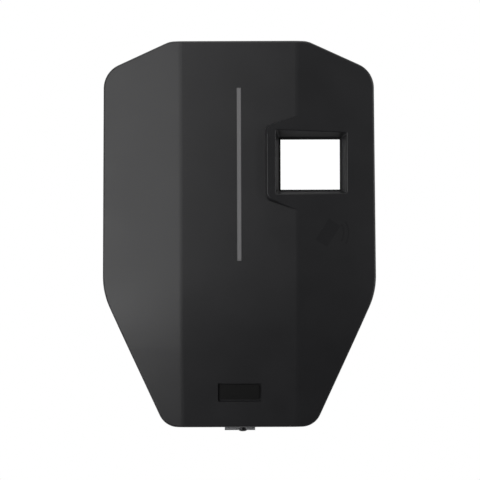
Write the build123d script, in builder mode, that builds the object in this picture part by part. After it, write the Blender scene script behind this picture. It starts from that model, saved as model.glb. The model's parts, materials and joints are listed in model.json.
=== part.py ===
from build123d import *
import os
from math import radians, sin, cos, tan

os.makedirs("parts", exist_ok=True)

# A wall charger for electric cars. Millimetres, +Z up, and its front looks along -Y.
# The wall is the plane y = 0, and a depth is a distance from the wall towards the front.
# The origin is the middle of the four wall holes, in the plane of the wall.

# Cover outline, seen from the front
cover_height = 388.0
top_edge_width = 137.0
shoulder_width = 272.4
waist_width = 276.0
bottom_edge_width = 152.6
shoulder_drop = 28.0
waist_rise = 137.3
top_corner_radius = 22.0
shoulder_radius = 25.0
waist_radius = 75.0
bottom_corner_radius = 20.0

# Cover front: a centre facet, two side facets that fall back, and a lower part that bends back
front_depth = 132.0
facet_share = 0.42
facet_angle = 9.5
fold_radius = 25.0
bend_rise = 158.0
bend_radius = 500.0
bend_angle = 9.0
cover_wall = 3.0
cover_edge_radius = 2.5

# Window: a drafted pocket on a raised pad that lies in the plane of the right facet
window_width = 60.8
window_height = 51.4
window_margin = 64.0
window_drop = 120.9
window_depth = 31.0
pocket_draft = 8.0
pocket_corner_radius = 2.0
pocket_mouth_radius = 1.2
edge_slope = 0.5
lip_width = 1.6
lip_thickness = 2.0
throat_wall = 2.5
seat_flange_width = 13.0
seat_flange_thickness = 3.0
pad_border = 17.2
pad_left_height = 75.0
pad_fold_height = 96.0
pad_level_shift = -1.3
pad_left_draft = 16.0
pad_upper_draft = 9.0
pad_lower_draft = 27.0
pad_corner_radius = 7.0
pad_edge_radius = 0.9
pad_sharp_drop = 8.4

# Display behind the window
seal_thickness = 1.0
seal_width = 3.0
pane_thickness = 2.0
pane_lap = 4.0
display_thickness = 4.0
display_lap = 2.0
board_thickness = 1.6
pillar_radius = 3.0
pillar_distance = 5.0
board_margin = 4.5

# Light strip
strip_width = 4.4
strip_share = 0.443
strip_drop = 46.8
strip_recess = 0.3
strip_clearance = 0.15
guide_flange_width = 9.5
guide_flange_thickness = 1.5
guide_length = 10.0
light_board_width = 16.0
light_board_overhang = 12.0
light_screw_margin = 5.0
led_size = 3.5
led_height = 1.6
led_gap = 0.3
led_count = 14

# Card reader
reader_size = 46.0
reader_shift = 17.0
reader_drop = 70.0
reader_setback = 26.0

# Screws into plastic, for every board
screw_pilot_radius = 1.45
screw_hole_radius = 1.7
screw_head_radius = 2.8
screw_head_height = 2.0
screw_length = 7.0
boss_radius = 3.5

# Nameplate
plate_recess_width = 44.2
plate_recess_height = 19.6
plate_recess_depth = 2.6
plate_rise = 36.5
plate_gap = 2.1
plate_backing = 1.6
plate_thickness = 1.1
plate_corner_radius = 1.5

# Rear housing
cover_stand = 40.0
housing_wall = 3.0
housing_back = 3.5
housing_gap = 3.0
housing_top_drop = 18.0
housing_bottom_rise = 36.0
housing_corner_radius = 14.0
swing_clearance = 3.5
skirt_overlap = 14.0
rim_width = 9.0
rim_height = 8.0
gasket_inset = 2.6
gasket_width = 3.8
gasket_groove_depth = 3.0
gasket_proud = 1.0
gasket_clearance = 0.1
seal_rib_width = 2.4

# Hinge at the top
hinge_rise = 7.5
hinge_setback = 6.0
hinge_distance = 90.0
pin_radius = 2.5
pin_running_gap = 0.08
pin_press_gap = 0.02
hook_width = 18.0
hook_half_thickness = 5.0
hook_reach = 3.5
ear_thickness = 4.0
ear_gap = 0.6
ear_half_width = 4.5

# Latch at the bottom
bracket_width = 31.0
bracket_thickness = 3.0
bracket_bend_radius = 3.0
bracket_gap = 0.5
bracket_setback = 5.0
bracket_flange_length = 18.0
bracket_screw_distance = 18.0
tongue_length = 36.0
latch_x = 3.0
latch_setback = 12.0
latch_screw_radius = 3.0
latch_screw_gap = 0.3
latch_head_radius = 5.2
latch_head_height = 3.3
latch_head_round = 2.6
latch_head_gap = 1.4
latch_socket_radius = 2.0
insert_radius = 4.0
insert_length = 9.0
insert_thread_gap = 0.05
latch_boss_radius = 7.5
latch_boss_height = 11.0

# Wall holes
wall_hole_distance = 170.0
wall_hole_rise = 230.0
wall_hole_radius = 3.25
wall_boss_radius = 8.0
wall_boss_height = 5.0

# Top-hat rails
rail_width = 35.0
rail_channel = 27.0
rail_height = 7.5
rail_thickness = 1.0
rail_support_height = 6.0
rail_support_width = 14.0
rail_support_distance = 116.0
device_rail_length = 150.0
terminal_rail_length = 146.0
rail_screw_radius = 2.0
rail_screw_head_radius = 4.0

# Devices on the upper rail
device_height = 86.0
device_foot = 4.5
device_clearance = 18.4
device_nose_step = 14.0
device_nose_height = 45.0
device_margin = 38.0
rail_clearance = 0.3
module_width = 17.5
breaker_pole_count = 4
contactor_pole_count = 3
device_gap = 4.0
device_hole_radius = 3.0
device_hole_depth = 10.0
device_entry_size = 8.0
module_groove = 0.6

# Breaker toggle and test button
toggle_width = 34.0
toggle_radius = 6.0
toggle_reach = 14.0
toggle_thickness = 4.0
toggle_angle = 35.0
toggle_axle_radius = 1.6
toggle_axle_length = 3.0
toggle_running_gap = 0.08
toggle_side_gap = 0.5
toggle_sink = 3.0
toggle_pocket_height = 15.0
toggle_pocket_depth = 10.0
toggle_level_shift = 6.0
button_size = 7.0
button_length = 8.0
button_proud = 2.6
button_gap = 0.2
button_travel = 2.0
button_drop = 15.0
button_x_shift = 22.0

# Terminals on the lower rail
terminal_count = 5
terminal_width = 10.0
terminal_height = 46.0
terminal_depth = 38.0
terminal_foot = 4.5
terminal_chamfer = 7.0
terminal_hole_radius = 2.3
terminal_hole_distance = 22.0
terminal_hole_depth = 12.0
terminal_entry_size = 6.0
terminal_group_gap = 30.0
end_stop_width = 6.0
wiring_height = 30.0

# Controller between the two rails
control_board_width = 150.0
control_board_gap = 18.0
standoff_height = 9.0
standoff_radius = 4.0
board_hole_inset = 6.0
power_module_width = 50.0
power_module_share = 0.36
power_module_depth = 26.0
power_module_x = -42.0
power_module_lift = 0.12
sensor_width = 40.0
sensor_height = 18.0
sensor_hole_radius = 10.0
sensor_x = 44.0
sensor_lift = -0.2
connector_width = 50.0
connector_height = 10.0
connector_depth = 11.0
connector_x = -38.0
connector_lift = -0.36
connector_way_count = 8
shield_width = 30.0
shield_share = 0.22
shield_depth = 4.0
shield_x = 40.0
shield_lift = 0.26
component_edge_radius = 1.5

# Cable glands
gland_distance = 90.0
gland_share = 0.3
gland_thread_radius = 12.5
gland_hole_gap = 0.25
gland_thread_length = 12.0
gland_hex_radius = 15.0
gland_collar_height = 6.0
gland_barrel_radius = 11.5
gland_barrel_length = 12.0
gland_bore_radius = 9.0
gland_nut_radius = 16.0
gland_nut_gap = 1.0
gland_nut_floor = 2.5
gland_mouth_radius = 8.5
gland_seal_length = 5.5
gland_seal_bore = 6.5
gland_dome_radius = 3.0
locknut_height = 5.0
plug_thread_radius = 8.0
plug_head_radius = 11.0
plug_head_height = 4.0
plug_thread_length = 11.0
plug_edge_radius = 1.5

# Places that follow from the sizes
cover_top = cover_height / 2
cover_bottom = -cover_height / 2
shoulder_level = cover_top - shoulder_drop
waist_level = cover_bottom + waist_rise
bend_level = cover_bottom + bend_rise
window_level = cover_top - window_drop
window_share = (window_level - waist_level) / (shoulder_level - waist_level)
window_side = (waist_width + (shoulder_width - waist_width) * window_share) / 2
window_x = window_side - window_margin
reader_x = window_x + reader_shift
reader_level = window_level - reader_drop
reader_depth = front_depth - reader_setback
fold_x = waist_width * facet_share / 2
facet_slope = tan(radians(facet_angle))
housing_depth = front_depth - cover_stand
gland_depth = housing_depth * gland_share
housing_top = cover_top - housing_top_drop
housing_bottom = cover_bottom + housing_bottom_rise
skirt_depth = housing_depth - skirt_overlap
latch_depth = skirt_depth + latch_setback
pad_reach = fold_x - window_x + window_width / 2 + pad_border
pad_sharp_level = window_level + pad_level_shift + pad_left_height / 2 - pad_sharp_drop
gasket_front = housing_depth + gasket_proud
gasket_back = housing_depth - gasket_groove_depth
hinge_level = housing_top + hinge_rise
hinge_depth = housing_depth - hinge_setback
hook_bore_radius = pin_radius + pin_running_gap
window_seat = front_depth - window_depth
pane_back = window_seat - seal_thickness - pane_thickness
display_back = pane_back - display_thickness
strip_length = cover_height * strip_share
strip_level = cover_top - strip_drop - strip_length / 2
inner_front = front_depth - cover_wall
guide_back = inner_front - guide_length
light_board_front = guide_back - led_gap - led_height
rail_back = housing_back + rail_support_height
rail_front = rail_back + rail_height
nose_depth = display_back - board_thickness - device_clearance
device_nose = nose_depth - rail_front
device_shoulder = device_nose - device_nose_step
device_rail_level = housing_top - device_margin - device_height / 2
terminal_rail_level = housing_bottom + housing_wall + wiring_height + terminal_height / 2
control_space_top = device_rail_level - device_height / 2
control_space_bottom = terminal_rail_level + terminal_height / 2
control_level = (control_space_top + control_space_bottom) / 2
control_board_height = control_space_top - control_space_bottom - 2 * control_board_gap
control_back = housing_back + standoff_height
control_front = control_back + board_thickness
breaker_width = module_width * breaker_pole_count
contactor_width = module_width * contactor_pole_count
breaker_x = -device_gap / 2 - breaker_width / 2
contactor_x = device_gap / 2 + contactor_width / 2
toggle_level = device_rail_level + toggle_level_shift
toggle_axis_depth = nose_depth - toggle_sink
tongue_top = cover_bottom - bracket_gap
tongue_bottom = tongue_top - bracket_thickness
screw_head_top = tongue_bottom - latch_head_gap

right_corners = [
    (top_edge_width / 2, cover_top),
    (shoulder_width / 2, shoulder_level),
    (waist_width / 2, waist_level),
    (bottom_edge_width / 2, cover_bottom),
]
corner_radii = [top_corner_radius, shoulder_radius, waist_radius, bottom_corner_radius]
cover_corners = right_corners + [(-x, z) for x, z in reversed(right_corners)]
cover_radii = corner_radii + corner_radii[::-1]

# The right facet's plane, level with the middle of the window
facet_plane = Plane(
    origin=(fold_x, -front_depth, window_level),
    x_dir=(cos(radians(facet_angle)), sin(radians(facet_angle)), 0),
    z_dir=(sin(radians(facet_angle)), -cos(radians(facet_angle)), 0),
)


def at_depth(depth):
    """The plane parallel to the wall at a depth, drawn on in X and Z and extruded to the front."""
    return Plane.XZ.offset(depth)


def draw_cover_outline(depth, inset=0.0):
    """Draw the cover's outline at a depth, drawn in from its outer face by inset."""
    with BuildSketch(at_depth(depth)) as outline:
        with BuildLine():
            FilletPolyline(*cover_corners, radius=cover_radii, close=True)
        make_face()
        if inset > 0:
            offset(amount=-inset)
    return outline.sketch


def draw_housing_outline(depth, inset=0.0):
    """Draw the housing's outline at a depth: the cover's, drawn in, with a level top and bottom."""
    with BuildSketch(at_depth(depth)) as outline:
        with BuildLine():
            FilletPolyline(*cover_corners, radius=cover_radii, close=True)
        make_face()
        offset(amount=-(cover_wall + housing_gap))
        # Lower shoulders, so that the cover's skirt clears them as it swings up
        add(outline.sketch_local.moved(Location((0, -swing_clearance))), mode=Mode.INTERSECT)
        with Locations((0, (housing_top + housing_bottom) / 2)):
            Rectangle(waist_width, housing_top - housing_bottom, mode=Mode.INTERSECT)
        fillet(outline.vertices().group_by(Axis.Y)[0], housing_corner_radius)
        fillet(outline.vertices().group_by(Axis.Y)[-1], housing_corner_radius)
        if inset > 0:
            offset(amount=-inset)
    return outline.sketch


def make_front_block(inset):
    """Make the block behind the three facets and their bend, drawn in from them by inset."""
    side_depth = front_depth - (waist_width - fold_x) * facet_slope
    with BuildPart() as block:
        with BuildSketch(Plane.XY.offset(bend_level)) as section:
            with BuildLine():
                Polyline(
                    (-waist_width, 0),
                    (-waist_width, -side_depth),
                    (-fold_x, -front_depth),
                    (fold_x, -front_depth),
                    (waist_width, -side_depth),
                    (waist_width, 0),
                    close=True,
                )
            make_face()
            fillet(section.vertices().group_by(Axis.Y)[0], fold_radius)
            if inset > 0:
                offset(amount=-inset)
        extrude(amount=cover_height)
        bend_axis = Axis((0, bend_radius - front_depth, bend_level), (1, 0, 0))
        revolve(section.sketch, axis=bend_axis, revolution_arc=bend_angle)
        extrude(block.faces().sort_by(Axis.Z)[0], amount=cover_height)
    return block.part


front_faces = make_front_block(0)
inner_faces = make_front_block(cover_wall)
middle_faces = make_front_block(cover_wall / 2)

# The straight lower part of the front, below the bend
lower_plane = Plane(
    origin=(
        0,
        bend_radius * (1 - cos(radians(bend_angle))) - front_depth,
        bend_level - bend_radius * sin(radians(bend_angle)),
    ),
    x_dir=(1, 0, 0),
    z_dir=(0, -cos(radians(bend_angle)), -sin(radians(bend_angle))),
)
plate_shift = (cover_bottom + plate_rise - lower_plane.origin.Z) / cos(radians(bend_angle))

light_screw_places = [
    (0, strip_level + strip_length / 2 + light_board_overhang - light_screw_margin),
    (0, strip_level - strip_length / 2 - light_board_overhang + light_screw_margin),
]
reader_hole = reader_size / 2 - board_margin
reader_screw_places = [
    (reader_x + side * reader_hole, reader_level + lift * reader_hole)
    for side in (-1, 1)
    for lift in (-1, 1)
]
pillar_x = window_width / 2 + pane_lap + pillar_distance
pillar_z = window_height / 2 + pane_lap + pillar_distance
display_screw_places = [
    (window_x + side * pillar_x, window_level + lift * pillar_z) for side in (-1, 1) for lift in (-1, 1)
]

# Hollow of the cover
with BuildPart() as cover_hollow:
    extrude(draw_cover_outline(skirt_depth, cover_wall), amount=front_depth)
    add(inner_faces, mode=Mode.INTERSECT)


def draw_pad_outline(height):
    """Draw the outline of the window's pad at a height above its base, its walls leaning in."""
    upper = window_level + pad_level_shift - height * tan(radians(pad_upper_draft))
    lower = window_level + pad_level_shift + height * tan(radians(pad_lower_draft))
    left = fold_x - pad_reach + height * tan(radians(pad_left_draft))
    with BuildSketch(at_depth(front_depth - cover_wall + height)) as outline:
        with BuildLine():
            Polyline(
                (fold_x + cover_wall, upper + pad_fold_height / 2),
                (fold_x, upper + pad_fold_height / 2),
                (left, upper + pad_left_height / 2),
                (left, lower - pad_left_height / 2),
                (fold_x, lower - pad_fold_height / 2),
                (fold_x + cover_wall, lower - pad_fold_height / 2),
                close=True,
            )
        make_face()
        fillet(outline.vertices().group_by(Axis.X)[0], pad_corner_radius)
    return outline.sketch


# Raised pad: its face carries the right facet's plane across the fold
with BuildPart() as window_pad:
    loft([draw_pad_outline(0), draw_pad_outline(2 * pad_reach * facet_slope + cover_wall)], ruled=True)
    split(bisect_by=facet_plane, keep=Keep.BOTTOM)
    # The upper edge stays sharp, and the left and lower edges are broken
    upper_plane = Plane.XY.offset(pad_sharp_level)
    upper_part = split(window_pad.part, bisect_by=upper_plane, keep=Keep.TOP, mode=Mode.PRIVATE)
    pad_face = window_pad.faces().filter_by(facet_plane).sort_by(Axis.Y)[0]
    fillet(pad_face.edges(), pad_edge_radius)
    split(bisect_by=upper_plane, keep=Keep.BOTTOM)
    add(upper_part)

# Throat: the pocket's wall, with a flange at its back that the pane seats on
pocket_width = window_width + 2 * lip_width
pocket_height = window_height + 2 * lip_width
with BuildPart() as window_throat:
    with BuildSketch(at_depth(window_seat)):
        with Locations((window_x, window_level)):
            Rectangle(pocket_width + 2 * throat_wall, pocket_height + 2 * throat_wall)
    extrude(amount=window_depth + pad_reach, taper=-pocket_draft)
    throat_corners = window_throat.edges().filter_by(lambda edge: abs(edge.tangent_at(0).Y) > edge_slope)
    fillet(throat_corners, pocket_corner_radius + throat_wall)
    with BuildSketch(at_depth(window_seat)):
        with Locations((window_x, window_level)):
            RectangleRounded(
                window_width + 2 * seat_flange_width,
                window_height + 2 * seat_flange_width,
                pocket_corner_radius + throat_wall,
            )
    extrude(amount=seat_flange_thickness)
    split(bisect_by=facet_plane, keep=Keep.BOTTOM)

# Pocket in front of the lip, wider towards its mouth
with BuildPart() as window_pocket:
    with BuildSketch(at_depth(window_seat + lip_thickness)):
        with Locations((window_x, window_level)):
            Rectangle(pocket_width, pocket_height)
    extrude(amount=window_depth + pad_reach, taper=-pocket_draft)
    pocket_corners = window_pocket.edges().filter_by(lambda edge: abs(edge.tangent_at(0).Y) > edge_slope)
    fillet(pocket_corners, pocket_corner_radius)

# Rib that presses on the housing's gasket all round
with BuildPart() as seal_rib:
    rib_inset = gasket_inset + (gasket_width - seal_rib_width) / 2
    extrude(draw_housing_outline(gasket_front, rib_inset), amount=front_depth)
    rib_inside = draw_housing_outline(gasket_front, rib_inset + seal_rib_width)
    extrude(rib_inside, amount=front_depth, mode=Mode.SUBTRACT)
    add(middle_faces, mode=Mode.INTERSECT)

# Bosses for the strip's board and the reader's board
with BuildPart() as board_bosses:
    with BuildSketch(at_depth(light_board_front)):
        with Locations(*light_screw_places):
            Circle(boss_radius)
    extrude(amount=front_depth)
    with BuildSketch(at_depth(reader_depth)):
        with Locations(*reader_screw_places):
            Circle(boss_radius)
    extrude(amount=front_depth)
    add(middle_faces, mode=Mode.INTERSECT)

with BuildPart() as front_cover:
    extrude(draw_cover_outline(skirt_depth), amount=front_depth)
    add(front_faces, mode=Mode.INTERSECT)
    side_faces = front_cover.faces().filter_by(lambda face: abs(face.normal_at().Y) < 0.01)
    edge_loop = ShapeList(set(side_faces.edges())).filter_by(Axis.Y, reverse=True)
    front_edges = edge_loop.filter_by_position(Axis.Y, -2 * front_depth, -skirt_depth - cover_wall)
    fillet(front_edges, cover_edge_radius)
    add(cover_hollow.part, mode=Mode.SUBTRACT)
    add(window_pad.part)
    add(window_throat.part)
    add(seal_rib.part)
    add(board_bosses.part)
    with BuildSketch(at_depth(window_seat)):
        with Locations((window_x, window_level)):
            Rectangle(window_width, window_height)
    extrude(amount=lip_thickness, mode=Mode.SUBTRACT)
    add(window_pocket.part, mode=Mode.SUBTRACT)
    pocket_face = front_cover.faces().filter_by(facet_plane).sort_by(SortBy.AREA)[-1]
    fillet(pocket_face.inner_wires()[0].edges(), pocket_mouth_radius)
    # Pillars for the display's board, round the pane
    with BuildSketch(at_depth(display_back)):
        with Locations(*display_screw_places):
            Circle(pillar_radius)
    extrude(amount=window_seat - display_back)
    # Screw holes of the three boards
    for places, depth in (
        (light_screw_places, light_board_front),
        (reader_screw_places, reader_depth),
        (display_screw_places, display_back),
    ):
        with BuildSketch(at_depth(depth)):
            with Locations(*places):
                Circle(screw_pilot_radius)
        extrude(amount=screw_length, mode=Mode.SUBTRACT)
    # Slot of the light strip
    with BuildSketch(at_depth(guide_back)):
        with Locations((0, strip_level)):
            Rectangle(strip_width, strip_length)
    extrude(amount=front_depth - guide_back, mode=Mode.SUBTRACT)
    # Recess of the nameplate, with a thicker wall behind it
    with BuildSketch(lower_plane.offset(-cover_wall - plate_backing)):
        with Locations((0, plate_shift)):
            Rectangle(plate_recess_width + 2 * cover_wall, plate_recess_height + 2 * cover_wall)
    extrude(amount=cover_wall / 2 + plate_backing)
    with BuildSketch(lower_plane):
        with Locations((0, plate_shift)):
            RectangleRounded(plate_recess_width, plate_recess_height, plate_corner_radius)
    extrude(amount=-plate_recess_depth, mode=Mode.SUBTRACT)
    # Hooks that hang on the hinge pins
    hook_top = cover_top - cover_wall / 2
    for hook_x in (-hinge_distance / 2, hinge_distance / 2):
        with BuildSketch(Plane.YZ.offset(hook_x - hook_width / 2)):
            with Locations((-hinge_depth, hinge_level - hook_reach)):
                Rectangle(
                    2 * hook_half_thickness,
                    hook_top - hinge_level + hook_reach,
                    align=(Align.CENTER, Align.MIN),
                )
            with Locations((-hinge_depth, hinge_level)):
                Circle(hook_bore_radius, mode=Mode.SUBTRACT)
                Rectangle(
                    2 * hook_bore_radius,
                    hook_reach,
                    align=(Align.CENTER, Align.MAX),
                    mode=Mode.SUBTRACT,
                )
        extrude(amount=hook_width)
    # Boss and hole of the cover screw
    with BuildSketch(Plane.XY.offset(cover_bottom + cover_wall / 2)):
        with Locations((latch_x, -latch_depth)):
            Circle(latch_boss_radius)
    extrude(amount=latch_boss_height + cover_wall / 2)
    with BuildSketch(Plane.XY.offset(cover_bottom)):
        with Locations((latch_x, -latch_depth)):
            Circle(latch_screw_radius + latch_screw_gap)
    extrude(amount=cover_wall + latch_boss_height, mode=Mode.SUBTRACT)
    with BuildSketch(Plane.XY.offset(cover_bottom + cover_wall + latch_boss_height)):
        with Locations((latch_x, -latch_depth)):
            Circle(insert_radius)
    extrude(amount=-insert_length, mode=Mode.SUBTRACT)
front_cover.part.label = "front_cover"
export_step(front_cover.part, "parts/front_cover.step")

with BuildPart() as light_guide:
    with BuildSketch(at_depth(guide_back)):
        with Locations((0, strip_level)):
            Rectangle(strip_width - 2 * strip_clearance, strip_length - 2 * strip_clearance)
    extrude(amount=front_depth - strip_recess - guide_back)
    with BuildSketch(at_depth(inner_front - guide_flange_thickness)):
        with Locations((0, strip_level)):
            Rectangle(guide_flange_width, strip_length + guide_flange_width - strip_width)
    extrude(amount=guide_flange_thickness)
light_guide.part.label = "light_guide"
export_step(light_guide.part, "parts/light_guide.step")

with BuildPart() as light_board:
    with BuildSketch(at_depth(light_board_front - board_thickness)):
        with Locations((0, strip_level)):
            light_board_length = strip_length + 2 * light_board_overhang
            RectangleRounded(light_board_width, light_board_length, pocket_corner_radius)
        with Locations(*light_screw_places):
            Circle(screw_hole_radius, mode=Mode.SUBTRACT)
    extrude(amount=board_thickness)
light_board.part.label = "light_board"
export_step(light_board.part, "parts/light_board.step")

with BuildPart() as status_leds:
    with BuildSketch(at_depth(light_board_front)):
        with Locations((0, strip_level)):
            with GridLocations(led_size, strip_length / led_count, 1, led_count):
                Rectangle(led_size, led_size)
    extrude(amount=led_height)
status_leds.part.label = "status_leds"
export_step(status_leds.part, "parts/status_leds.step")

with BuildPart() as window_seal:
    with BuildSketch(at_depth(window_seat - seal_thickness)):
        with Locations((window_x, window_level)):
            Rectangle(window_width + 2 * pane_lap, window_height + 2 * pane_lap)
            Rectangle(
                window_width + 2 * (pane_lap - seal_width),
                window_height + 2 * (pane_lap - seal_width),
                mode=Mode.SUBTRACT,
            )
    extrude(amount=seal_thickness)
window_seal.part.label = "window_seal"
export_step(window_seal.part, "parts/window_seal.step")

with BuildPart() as window_pane:
    with BuildSketch(at_depth(pane_back)):
        with Locations((window_x, window_level)):
            Rectangle(window_width + 2 * pane_lap, window_height + 2 * pane_lap)
    extrude(amount=pane_thickness)
window_pane.part.label = "window_pane"
export_step(window_pane.part, "parts/window_pane.step")

with BuildPart() as display_panel:
    with BuildSketch(at_depth(display_back)):
        with Locations((window_x, window_level)):
            Rectangle(window_width + 2 * display_lap, window_height + 2 * display_lap)
    extrude(amount=display_thickness)
display_panel.part.label = "display_panel"
export_step(display_panel.part, "parts/display_panel.step")

with BuildPart() as display_board:
    with BuildSketch(at_depth(display_back - board_thickness)):
        with Locations((window_x, window_level)):
            RectangleRounded(
                2 * (pillar_x + board_margin),
                2 * (pillar_z + board_margin),
                pocket_corner_radius,
            )
        with Locations(*display_screw_places):
            Circle(screw_hole_radius, mode=Mode.SUBTRACT)
    extrude(amount=board_thickness)
display_board.part.label = "display_board"
export_step(display_board.part, "parts/display_board.step")

with BuildPart() as reader_board:
    with BuildSketch(at_depth(reader_depth - board_thickness)):
        with Locations((reader_x, reader_level)):
            RectangleRounded(reader_size, reader_size, pocket_corner_radius)
        with Locations(*reader_screw_places):
            Circle(screw_hole_radius, mode=Mode.SUBTRACT)
    extrude(amount=board_thickness)
reader_board.part.label = "reader_board"
export_step(reader_board.part, "parts/reader_board.step")

with BuildPart() as cover_board_screws:
    for places, depth in (
        (light_screw_places, light_board_front),
        (reader_screw_places, reader_depth),
        (display_screw_places, display_back),
    ):
        head_depth = depth - board_thickness - screw_head_height
        with BuildSketch(at_depth(head_depth)):
            with Locations(*places):
                Circle(screw_head_radius)
        extrude(amount=screw_head_height)
        with BuildSketch(at_depth(head_depth)):
            with Locations(*places):
                Circle(screw_pilot_radius)
        extrude(amount=screw_head_height + screw_length)
cover_board_screws.part.label = "cover_board_screws"
export_step(cover_board_screws.part, "parts/cover_board_screws.step")

with BuildPart() as nameplate:
    with BuildSketch(lower_plane.offset(-plate_recess_depth)):
        with Locations((0, plate_shift)):
            RectangleRounded(
                plate_recess_width - 2 * plate_gap,
                plate_recess_height - 2 * plate_gap,
                plate_corner_radius,
            )
    extrude(amount=plate_thickness)
nameplate.part.label = "nameplate"
export_step(nameplate.part, "parts/nameplate.step")

insert_top = cover_bottom + cover_wall + latch_boss_height
with BuildPart() as threaded_insert:
    with BuildSketch(Plane.XY.offset(insert_top - insert_length)):
        with Locations((latch_x, -latch_depth)):
            Circle(insert_radius)
            Circle(latch_screw_radius + insert_thread_gap, mode=Mode.SUBTRACT)
    extrude(amount=insert_length)
threaded_insert.part.label = "threaded_insert"
export_step(threaded_insert.part, "parts/threaded_insert.step")

with BuildPart() as cover_screw:
    with BuildSketch(Plane.XY.offset(screw_head_top)):
        with Locations((latch_x, -latch_depth)):
            Circle(latch_head_radius)
    extrude(amount=-latch_head_height)
    fillet(cover_screw.faces().sort_by(Axis.Z)[0].edges(), latch_head_round)
    with BuildSketch(Plane.XY.offset(screw_head_top - latch_head_height)):
        with Locations((latch_x, -latch_depth)):
            RegularPolygon(latch_socket_radius, 6)
    extrude(amount=latch_head_height / 2, mode=Mode.SUBTRACT)
    with BuildSketch(Plane.XY.offset(screw_head_top)):
        with Locations((latch_x, -latch_depth)):
            Circle(latch_screw_radius)
    extrude(amount=insert_top - screw_head_top)
cover_screw.part.label = "cover_screw"
export_step(cover_screw.part, "parts/cover_screw.step")

wall_hole_places = [
    (side * wall_hole_distance / 2, lift * wall_hole_rise / 2) for side in (-1, 1) for lift in (-1, 1)
]
standoff_x = control_board_width / 2 - board_hole_inset
standoff_z = control_board_height / 2 - board_hole_inset
standoff_places = [
    (side * standoff_x, control_level + lift * standoff_z) for side in (-1, 1) for lift in (-1, 1)
]
rail_levels = (device_rail_level, terminal_rail_level)
rail_screw_places = [(side * rail_support_distance / 2, level) for side in (-1, 1) for level in rail_levels]
bracket_leg_depth = skirt_depth - bracket_setback
bracket_screw_depth = bracket_leg_depth - bracket_flange_length / 2
bracket_screw_places = [(side * bracket_screw_distance / 2, -bracket_screw_depth) for side in (-1, 1)]
gland_places = [(side * gland_distance / 2, -gland_depth) for side in (-1, 1)]
pin_length = hook_width + 2 * (ear_gap + ear_thickness)

# Groove of the gasket, in the housing's rim
with BuildPart() as gasket_groove:
    groove_outside = draw_housing_outline(gasket_back, gasket_inset - gasket_clearance)
    extrude(groove_outside, amount=gasket_groove_depth)
    groove_inside = draw_housing_outline(gasket_back, gasket_inset + gasket_width + gasket_clearance)
    extrude(groove_inside, amount=gasket_groove_depth, mode=Mode.SUBTRACT)

with BuildPart() as rear_housing:
    extrude(draw_housing_outline(0), amount=housing_depth)
    extrude(draw_housing_outline(housing_back, housing_wall), amount=housing_depth, mode=Mode.SUBTRACT)
    # Thick rim with the gasket's groove
    extrude(draw_housing_outline(housing_depth - rim_height, housing_wall / 2), amount=rim_height)
    rim_inside = draw_housing_outline(housing_depth - rim_height, rim_width)
    extrude(rim_inside, amount=rim_height, mode=Mode.SUBTRACT)
    add(gasket_groove.part, mode=Mode.SUBTRACT)
    # Supports of the rails, standoffs of the board and bosses of the wall holes
    with BuildSketch(at_depth(housing_back / 2)):
        with Locations(*rail_screw_places):
            Rectangle(rail_support_width, rail_channel)
    extrude(amount=housing_back / 2 + rail_support_height)
    with BuildSketch(at_depth(housing_back / 2)):
        with Locations(*standoff_places):
            Circle(standoff_radius)
    extrude(amount=housing_back / 2 + standoff_height)
    with BuildSketch(at_depth(housing_back / 2)):
        with Locations(*wall_hole_places):
            Circle(wall_boss_radius)
    extrude(amount=housing_back / 2 + wall_boss_height)
    with BuildSketch(at_depth(0)):
        with Locations(*wall_hole_places):
            Circle(wall_hole_radius)
    extrude(amount=housing_back + wall_boss_height, mode=Mode.SUBTRACT)
    with BuildSketch(at_depth(control_back)):
        with Locations(*standoff_places):
            Circle(screw_pilot_radius)
    extrude(amount=-screw_length, mode=Mode.SUBTRACT)
    with BuildSketch(at_depth(rail_back)):
        with Locations(*rail_screw_places):
            Circle(rail_screw_radius)
    extrude(amount=-rail_support_height, mode=Mode.SUBTRACT)
    # Entries of the glands and the spare entry, in the bottom wall
    with BuildSketch(Plane.XY.offset(housing_bottom)):
        with Locations(*gland_places):
            Circle(gland_thread_radius + gland_hole_gap)
        with Locations((0, -gland_depth)):
            Circle(plug_thread_radius + gland_hole_gap)
    extrude(amount=housing_wall, mode=Mode.SUBTRACT)
    # Bosses of the latch bracket's screws
    with BuildSketch(Plane.XY.offset(housing_bottom + housing_wall / 2)):
        with Locations(*bracket_screw_places):
            Circle(boss_radius)
    extrude(amount=housing_wall / 2 + screw_length)
    with BuildSketch(Plane.XY.offset(housing_bottom)):
        with Locations(*bracket_screw_places):
            Circle(screw_pilot_radius)
    extrude(amount=screw_length, mode=Mode.SUBTRACT)
    # Ears that hold the hinge pins
    ear_offset = hook_width / 2 + ear_gap
    for hook_x in (-hinge_distance / 2, hinge_distance / 2):
        for ear_x in (hook_x - ear_offset - ear_thickness, hook_x + ear_offset):
            with BuildSketch(Plane.YZ.offset(ear_x)):
                with Locations((-hinge_depth, hinge_level)):
                    Circle(ear_half_width)
                    Rectangle(
                        2 * ear_half_width,
                        hinge_rise + housing_wall / 2,
                        align=(Align.CENTER, Align.MAX),
                    )
                    Circle(pin_radius + pin_press_gap, mode=Mode.SUBTRACT)
            extrude(amount=ear_thickness)
rear_housing.part.label = "rear_housing"
export_step(rear_housing.part, "parts/rear_housing.step")

with BuildPart() as rim_gasket:
    extrude(draw_housing_outline(gasket_back, gasket_inset), amount=gasket_front - gasket_back)
    gasket_inside = draw_housing_outline(gasket_back, gasket_inset + gasket_width)
    extrude(gasket_inside, amount=gasket_front - gasket_back, mode=Mode.SUBTRACT)
rim_gasket.part.label = "rim_gasket"
export_step(rim_gasket.part, "parts/rim_gasket.step")

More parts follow.
